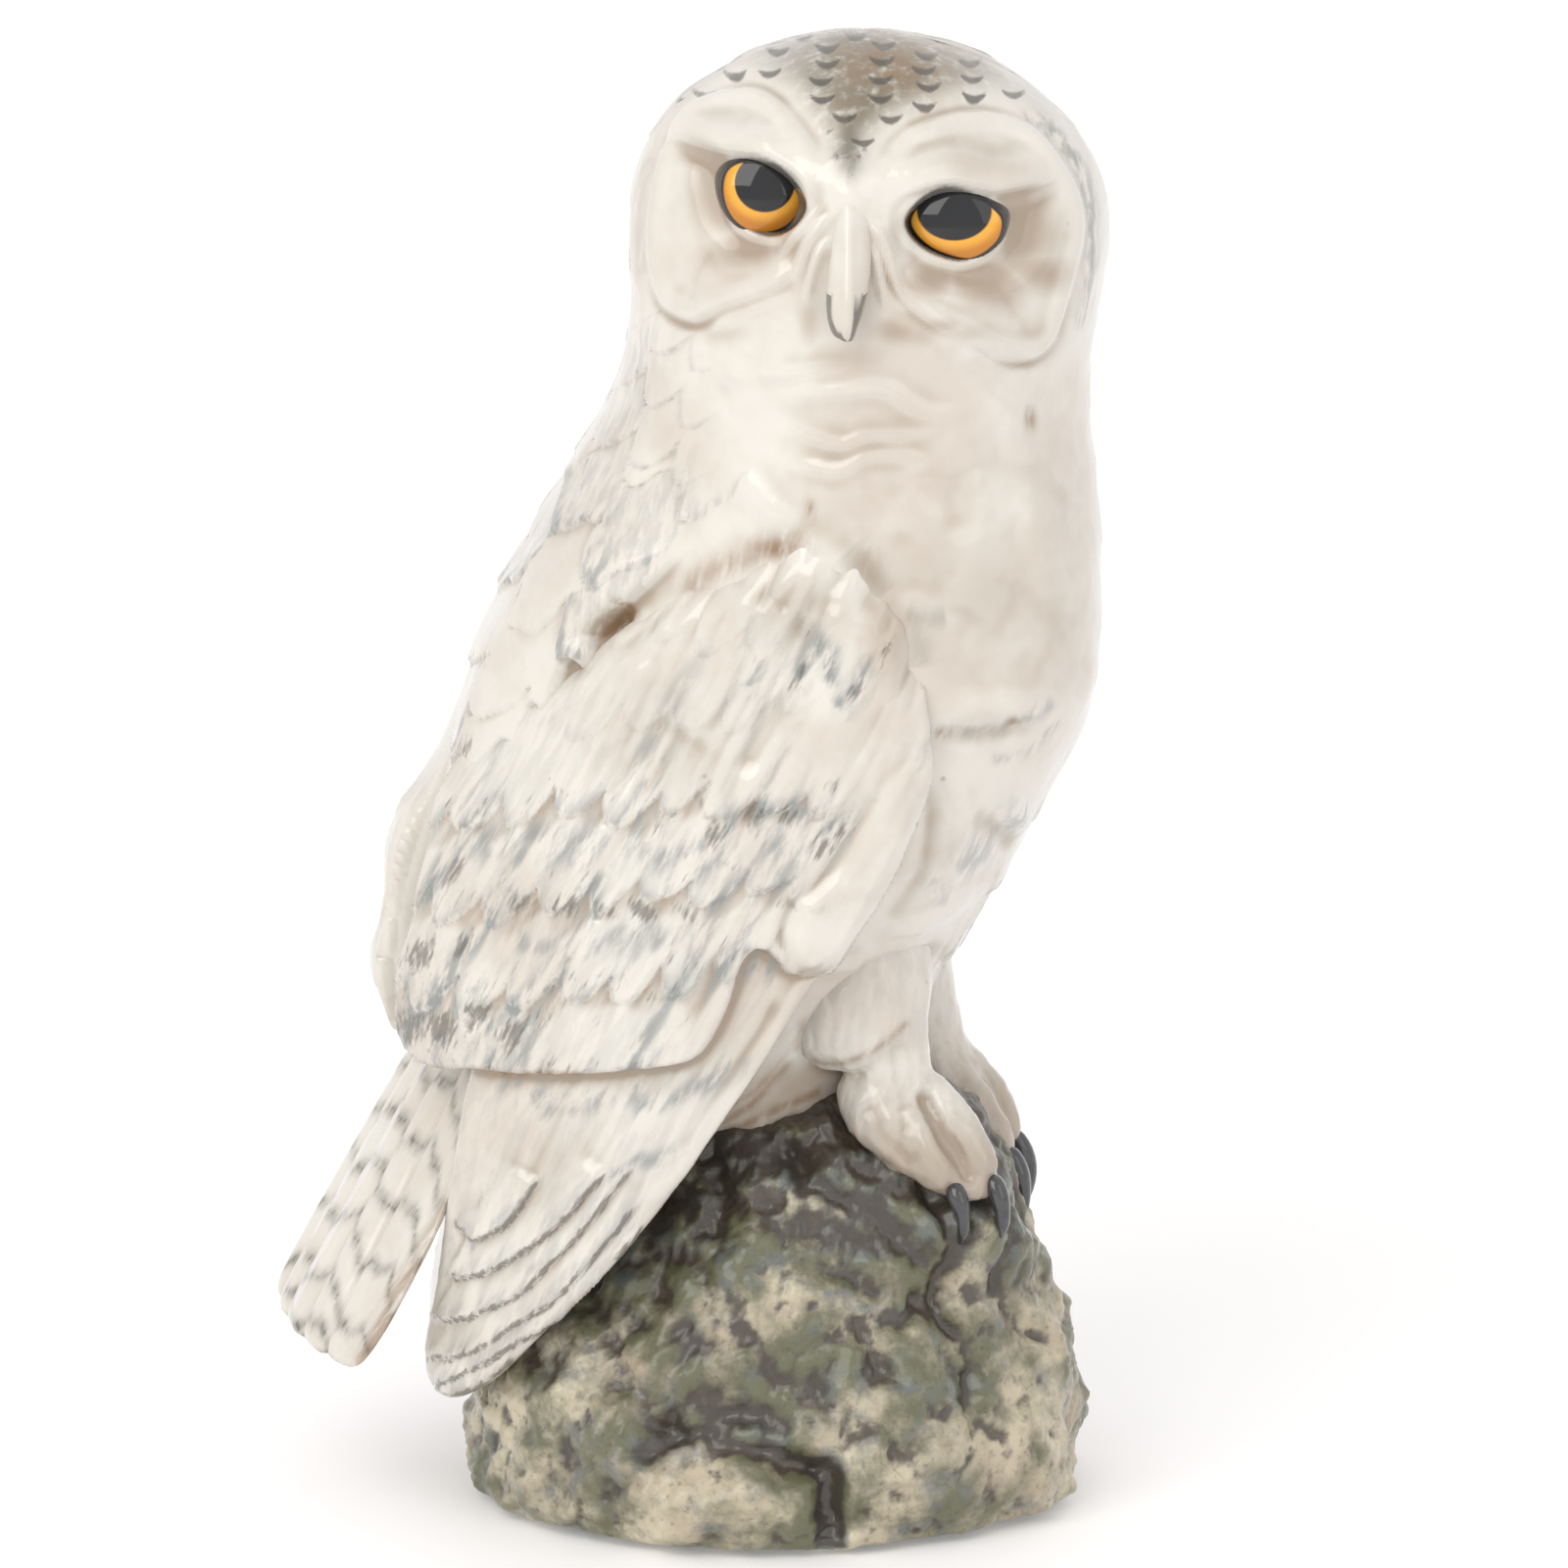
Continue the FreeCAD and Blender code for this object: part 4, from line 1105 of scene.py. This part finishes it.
tail = {
    "start": (-28.4, 2.8, 59.3),
    "turn": 15,
    "slope": 31,
    "bend": 2.8,             # how far the near half curls down
    "rows": [
        (0, 0, 0, 9, 2.6, 0), (10, 0, 0, 11.8, 2.2, 0), (24, -0.8, 0, 13.8, 1.9, 0),
        (37.2, -1.8, 0, 15.2, 1.7, 0), (44.4, -2, 0, 14.8, 1.5, 0), (47.6, -2, 0, 12, 1, 0),
    ],
    "splits": [-8.6, -3, 3.4, 8.8],
    "splitDepth": 0.45,
    "zigzag": (3.2, 5.2),    # how high and how wide
    "bars": [7, 13.4, 19.8, 26.2, 32.6, 39, 44],
}


def makeTail():
    piece = subdivided(show("tailFan", meshFrom(ringStack(tail["rows"], 24), "tailFan")), 4)
    mesh = piece.data
    co = points(mesh)
    across, along = co[:, 0], co[:, 2]
    height = 0.0 * across
    for split in tail["splits"]:
        past = across - split * (0.75 + 0.25 * along / 48)
        height += 0.35 * ease(0.0, 2.4, past) * ease(6, 1, past) - tail["splitDepth"] * hump(past, 0.6)
    height += 0.12 * roughness(co * np.array([1.0, 1.0, 0.2]), 1.4, 2, 6.0)
    fleck = 0.0 * across
    for index, level in enumerate(tail["bars"]):
        high, wide = tail["zigzag"]
        zigzag = high * np.abs(np.mod(across / wide + 0.37 * index, 2.0) - 1.0)
        wave = level + zigzag + 0.4 * np.sin(across * 1.9 + index) + 0.015 * across ** 2
        uneven = 0.86 + 0.14 * np.sin(across * 1.3 + index * 1.7)
        fleck = np.maximum(fleck, hump(along - wave, 0.9) * uneven)
    # the side edges of the tail are darkened in the brown stain layer: painted shade on the edges
    stain = 0.45 * ease(10.2, 12.8, across) + 0.7 * ease(-13.0, -16.0, across)
    turn = Matrix.Rotation(math.radians(tail["turn"] + 90), 4, "Z")
    lean = Matrix.Rotation(math.radians(180 + tail["slope"]), 4, "X")
    swell(mesh, height)
    bent = points(mesh)
    bent[:, 1] += tail["bend"] * ease(0.0, -16.0, across) * ease(2.0, 30.0, along)
    place(mesh, bent)
    mesh.transform(Matrix.Translation(tail["start"]) @ turn @ lean)
    paintAll(mesh, fleck=0.75 * fleck, olive=0.5 * fleck, stain=stain, wash=0.7 * fleck, ink=0 * fleck - 1,
             hollow=2.0 * creases(mesh, 6))
    return piece


# a shin, a thigh and a foot with feathered toes spread over the rock
legs = {
    "voxel": 0.4,
    "smoothing": 10,
    "clawRadii": [1.2, 1.4, 1, 0.3],
    "stains": [
        ([(2.6, 51.6), (2.6, 49), (4.3, 47)], 0.7, 0.8), ([(4, 54), (6.4, 55.4)], 0.8, 0.7),
        ([(3.6, 47.2), (7, 46.4), (11.6, 48), (15.6, 51.4)], 0.4, 0.55),
    ],
    "right": {
        "shin": [(11, -9, 64), (12.4, -9.8, 58), (13.2, -10.6, 53), (13.4, -11.4, 48), (15, -12.4, 44),
                 (17.4, -13, 40)],
        "shinRadii": [7, 5.8, 4.3, 4.9, 5.2, 4.6],
        "thigh": [
            (50.6, 8.8, -11.2, 3, 2.4, 0), (52, 9, -11.2, 6, 4.6, 0), (55, 9.4, -11.2, 7.4, 6, 0),
            (59, 9.8, -10.6, 8.2, 6.6, 0), (64, 9.8, -9, 8.2, 7, 0), (69, 9.4, -7.2, 6, 5.6, 0),
        ],
        "foot": [
            (52, 12.8, -10.6, 3.6, 3.4, 0), (49.4, 12.6, -11.4, 5.2, 4.2, 0),
            (46.6, 13.2, -12.2, 6.3, 4.8, 0), (43.4, 15.6, -13.2, 6.7, 5, 0),
            (40.6, 18.6, -14, 5.8, 4.8, 0), (38.4, 21, -14.4, 4.4, 4, 0), (37, 22.2, -14.4, 2.8, 2.8, 0),
        ],
        "toes": [
            ([(13.6, -11.4, 49), (15.6, -14.6, 45), (18.2, -16.8, 41.4), (19.8, -17.4, 38.8)],
             [2.6, 3.2, 2.9, 2]),
            ([(15.8, -10.8, 50), (19, -13, 45.6), (22.2, -14.8, 41.8), (24, -15.2, 39)], [2.6, 3.3, 2.9, 2]),
        ],
        "claws": [
            [(19.8, -17.8, 39.8), (20.9, -19, 37.2), (21.3, -18.8, 34.6), (20.7, -17.6, 32.4)],
            [(24, -15.6, 40), (25.2, -16.8, 37.4), (25.6, -16.8, 34.6), (24.9, -15.8, 32.4)],
        ],
        "folds": [
            ([(16.4, 44), (18.2, 40), (20.6, 36.4), (22.2, 32.6)], 0.9, -1),
            ([(10.6, 42.6), (12.6, 38.4), (16, 35.2)], 1, -0.5),
            ([(14.6, 49), (13.8, 45), (15, 41)], 1.4, -0.4),
        ],
    },
    "left": {
        "shin": [(13, 8, 64), (14.6, 8.6, 58), (16.6, 8.6, 52), (17.6, 8.4, 47), (18.6, 8.4, 42),
                 (19.6, 8.4, 37)],
        "shinRadii": [7, 5.8, 4.4, 4.2, 4.4, 4],
        "thigh": [
            (50.6, 10.8, 10, 3, 2.4, 0), (52, 11, 10, 6, 5, 0), (55, 11.4, 10, 7.8, 6.6, 0),
            (59, 11.8, 9.4, 8.4, 7.2, 0), (64, 11.8, 8, 8, 7, 0), (69, 11, 6, 6, 5.6, 0),
        ],
        "foot": [
            (52, 16.6, 8.4, 3.2, 3.6, 0), (48.6, 17.2, 8.4, 4.6, 5.4, 0), (44, 19.6, 8.6, 5, 7.4, 0),
            (40, 22, 8.6, 4.6, 7.8, 0), (37.4, 23.6, 8.6, 3.2, 6, 0),
        ],
        "toes": [
            ([(17.4, 8.4, 48), (20.6, 4.8, 44), (24.2, 2, 40), (26.2, 0.6, 36.6)], [3, 3.2, 2.6, 1.8]),
            ([(17.8, 8.4, 48), (22, 8.6, 44), (25.6, 8.6, 39.6), (26.8, 8.6, 36)], [3, 3.2, 2.6, 1.8]),
            ([(17, 9.4, 48), (19.4, 13.6, 44), (21.6, 16.4, 39.6), (22.4, 17.4, 36)], [3, 3.2, 2.6, 1.8]),
        ],
        "claws": [
            [(26, 0.6, 38.4), (27.8, -0.2, 35.2), (28, -0.4, 31.6), (27, -0.2, 28.6)],
            [(26.6, 8.6, 38), (28.6, 8.6, 34.6), (28.6, 8.6, 31), (27.4, 8.6, 28)],
        ],
        "folds": [],
    },
}


def makeLeg(name, side):
    one = legs[side]
    forms = [limb(one["shin"], one["shinRadii"], 16)]
    forms += [ringStack(one[part], 20) for part in ("foot", "thigh")]
    forms += [limb(path, radii) for path, radii in one["toes"]]
    piece = joined(name, forms)
    subdivided(piece, 2)
    remeshed(piece, legs["voxel"], legs["smoothing"])
    mesh = piece.data
    co = points(mesh)
    u, w = faceOn(co)
    height = 0.25 * roughness(co * np.array([1.0, 1.0, 0.4]), 2.6, 3, 8.0)
    for line, reach, lift in one["folds"]:
        height += ridge(u, w, line, reach, lift)
    swell(mesh, height)
    u, w = faceOn(points(mesh))
    paintAll(mesh, hollow=1.6 * creases(mesh, 8), shade=0.06 + 0.80 * ease(52, 41, co[:, 2]),
             wash=0.55 * ease(46.0, 40.0, w) * ease(14, 4, u) + 0.15,
             stain=bands(u, w, legs["stains"]), ink=np.full(len(co), -1.0))
    return piece


def makeClaws(name, side):
    forms = [limb(path, legs["clawRadii"], 10) for path in legs[side]["claws"]]
    return subdivided(joined(name, forms), 2)


eyes = {
    "rightEye": {"middle": (-0.7, 141), "half": (5.6, 3.2, 5.4),
                 "sunk": 1.7, "pupil": (-0.5, 142.6, 3.3, 3.2)},
    "leftEye": {"middle": (20.4, 137.9), "half": (6.6, 3.2, 5.4),
                "sunk": 1.9, "pupil": (20.2, 139.6, 4.1, 3.3)},
}


def makeEye(name, head):
    one = eyes[name]
    bm = bmesh.new()
    bmesh.ops.create_uvsphere(bm, u_segments=72, v_segments=48, radius=1.0)
    edge = smoothRun(face[name], True)
    rim = np.mean([surfaceAt(head, u, w) for u, w in face[name]])
    middle = behindView(*one["middle"], rim + one["sunk"])
    dome = Matrix.Translation(middle) @ Matrix.Diagonal((*one["half"], 1))
    bmesh.ops.transform(bm, matrix=dome, verts=bm.verts[:])
    piece = show(name, meshFrom(bm, name))
    co = points(piece.data)
    u, w = faceOn(co)
    co[:, 1] += 5.0 * ease(0.1, -1.4, insideRun(u, w, edge))
    place(piece.data, co)
    u, w = faceOn(co)
    x, y, wide, tall = one["pupil"]
    paint(piece.data, "pupilGap", (np.hypot((u - x) / wide, (w - y) / tall) - 1) * tall)
    paint(piece.data, "rim", insideRun(u, w, edge))
    return piece


beakRows = [
    (151, 8.9, -23.6, 1.5, 1.2, 0), (148.5, 8.9, -24.6, 1.9, 1.9, 0), (145.6, 8.8, -25.8, 2.2, 2.5, 0),
    (142.8, 8.5, -27, 2.4, 2.9, 0), (140, 8.1, -28, 2.2, 2.7, 0), (137.8, 7.9, -28.7, 1.7, 2.1, 0),
    (136.3, 7.8, -29, 0.9, 1, 0),
]


def makeBeak():
    piece = subdivided(show("beakHook", meshFrom(ringStack(beakRows, 14), "beakHook")), 3)
    mesh = piece.data
    u, w = faceOn(points(mesh))
    swell(mesh, 0.5 * hump(u - 8.6, 0.7) * (directions(mesh) @ view > 0.2))
    out = directions(mesh)
    turned = np.abs(out[:, 0]) + 0.8 * np.clip(-out[:, 2], 0, 1)
    paint(mesh, "ink", np.where(w < 130.6, 2.2 * (turned - 0.74), -1.0))
    paint(mesh, "shade", 0.3 * ease(133, 126, w))
    return piece


rockRows = [
    (0, 0.5, 0, 32, 27.4, 0), (1.4, 0.5, 0, 33.4, 28.6, 0), (4.6, 0.5, 0, 34.4, 29.2, 0),
    (12, 0.6, 0, 33.8, 28, 0), (20, 1.6, 0, 30.4, 24.6, 0), (28, 3, 0, 26.8, 21.2, 0),
    (36, 4, 0, 23, 18, 0), (42, 4, 0, 19.4, 15, 0), (46.5, 3, 0, 14.4, 11, 0), (48.6, 2, 0, 7, 5.4, 0),
]

rock = {
    "lumps": [(12, 3, 2, 1.6), (4.6, 4, 5, 1), (1.6, 2, 7, 0.15)],   # size, octaves, seed, lift
    "fissureAt": 6.6,
    "fissureDepth": 3.2,
    "creaseShade": 1.9,
    "darkBands": [
        ([(-15.1, 3), (-9.6, 7.4), (-4, 6.6), (3, 4.6)], 2.4, 0.7), ([(6.6, 4), (6.6, -8)], 1.6, 0.6),
        ([(20, 30), (22.6, 26), (25, 21)], 3, 0.5), ([(16, 30), (20, 24)], 3, 0.35),
        ([(-28, -5), (-14, -8.6), (6, -9.6), (26, -7)], 0.8, 0.35),
        ([(-12, 30), (-19, 20), (-28, 10)], 2.4, 0.25),
    ],
    "pale": [(3.5, 20, 6, 6, 0.5), (-5.5, -2, 9, 3.2, 0.35)],
    "bumps": [
        (22.5, 30, 4.6, 5.4, 3.4), (16.6, 27.6, 3.2, 2.6, 1.8), (13, 33, 4, 3, 1.4), (-24, 16, 4, 6, 0.8),
        (6, 34, 4, 3, 1.2), (-2, 37, 3, 3, 1), (12, 8, 5, 4, 1.2), (25.6, 12, 5, 5, 1),
        (21, 26, 3.2, 5, 1.8), (26, 25, 2.6, 4, 1.6), (14, 28, 4, 4, 1), (20.5, 41, 3.2, 4, 2),
        (2, 20, 7, 6, 1.4), (17, 12, 7, 6, 1.4), (-6, 26, 5, 6, 1), (-20, 6, 6, 5, 0.8),
        (-6, -1.6, 9, 3, 2.4), (24, 0, 8, 4, 0.8), (30, 12, 3, 6, 1), (-13, 14, 5, 5, 0.9),
    ],
    "crevices": [
        ([(-15.1, 2.1), (-13.4, 4.3), (-10, 6.4), (-4.8, 5.1), (1.2, 3), (6, 1.7)], 1.9, -2.4),
        ([(-14, 6), (-10, 9.4), (-4, 8.2), (3, 5.6)], 1.8, -1.5),
        ([(-9, 38), (-5, 33), (-7, 27)], 1.4, -1.2),
        ([(2, 39), (5, 33), (11, 30), (17, 24), (16, 17)], 1.5, -1.4),
        ([(16, 34), (18, 28), (18.4, 20), (22, 14), (21, 7)], 1, -1.3),
        ([(23.6, 33), (23.8, 27), (25.6, 20), (30, 16)], 0.9, -1.1),
        ([(-4, 19), (1, 12), (8, 9), (14, 4)], 1.3, -0.9), ([(9, 20), (12, 13), (19, 7)], 1, -0.8),
    ],
}


def makeRock():
    piece = subdivided(show("rockMass", meshFrom(ringStack(rockRows, 28, 1.008), "rockMass")), 4)
    mesh = piece.data
    co = points(mesh)
    u, w = faceOn(co)
    front = ease(0.0, 0.3, directions(mesh) @ view)
    height = sum(lift * roughness(co, size, octaves, seed) for size, octaves, seed, lift in rock["lumps"])
    height += front * sum(lift * np.exp(-((u - x) / wide) ** 2 - ((w - y) / tall) ** 2)
                          for x, y, wide, tall, lift in rock["bumps"])
    wobble = 1.3 * roughness(co, 4.4, 3, 9.0)
    for line, reach, lift in rock["crevices"]:
        height += front * ridge(u + wobble, w - wobble, line, reach, lift, 0.1)
    gap = np.abs(u - rock["fissureAt"] - 0.5 * wobble)
    narrowing = 0.10 * np.clip(w + 2.0, 0, 9)
    fissure = front * ease(2.7, 0.3, gap + narrowing + 0.3 * wobble) * ease(5.0, -1.0, w)
    height -= rock["fissureDepth"] * fissure
    height *= ease(0.1, 2.6, co[:, 2])
    swell(mesh, height)
    # dark steers the mottling: darker towards the top, near the bottom edge and in bands, lighter on the
    # right and in pale spots; the fissure and the bands along it and the lower crevice are darkened as
    # painted shade
    dark = 0.09 + 0.75 * ease(20, 35, w) * front
    dark += 0.30 * ease(34, 46, co[:, 2]) + 0.1 * ease(1.6, 0.4, co[:, 2])
    middle = hump(w - 16.0, 12.0) * ease(18.0, 4.0, np.abs(u - 4.0))
    dark += front * (0.30 * middle - 0.25 * ease(20.0, 28.0, u))
    dark += front * bands(u, w, rock["darkBands"])
    for x, y, wide, tall, strength in rock["pale"]:
        dark -= front * strength * np.exp(-((u - x) / wide) ** 2 - ((w - y) / tall) ** 2)
    paint(mesh, "dark", dark + 1.2 * fissure)
    paint(mesh, "hollow", rock["creaseShade"] * creases(mesh, 14))
    return piece


def main():
    makeStudio()
    makeMaterials()
    form = makeBody()
    right, left = makeEye("rightEye", form.data), makeEye("leftEye", form.data)
    head, torso = parted(form, "headShell", True), parted(form, "torsoShell", False)
    bpy.data.objects.remove(form)
    finished(head, "bodyPlumage", "plumage_glaze", "head")
    finished(torso, "bodyPlumage", "plumage_glaze", "torso")
    finished(right, "eyeGlaze", "eye_glaze", "right_eye")
    finished(left, "eyeGlaze", "eye_glaze", "left_eye")
    finished(makeBeak(), "bodyPlumage", "beak_glaze", "beak")
    print("body and face ready")
    near = makeWing("nearWing", wingOutline, -1.0, False)
    far = makeWing("farWing", farOutline, -1.5, True)
    finished(near, "wingPlumage", "plumage_glaze", "right_wing")
    finished(far, "wingPlumage", "plumage_glaze", "left_wing")
    finished(makeTail(), "tailPlumage", "plumage_glaze", "tail")
    print("wings and tail ready")
    finished(makeLeg("rightLeg", "right"), "bodyPlumage", "plumage_glaze", "right_leg")
    finished(makeLeg("leftLeg", "left"), "bodyPlumage", "plumage_glaze", "left_leg")
    finished(makeClaws("rightClaws", "right"), "clawGlaze", "talon_glaze", "right_talons")
    finished(makeClaws("leftClaws", "left"), "clawGlaze", "talon_glaze", "left_talons")
    finished(makeRock(), "mottledGlaze", "rock_glaze", "rock_base")
    print("legs and rock ready")


main()
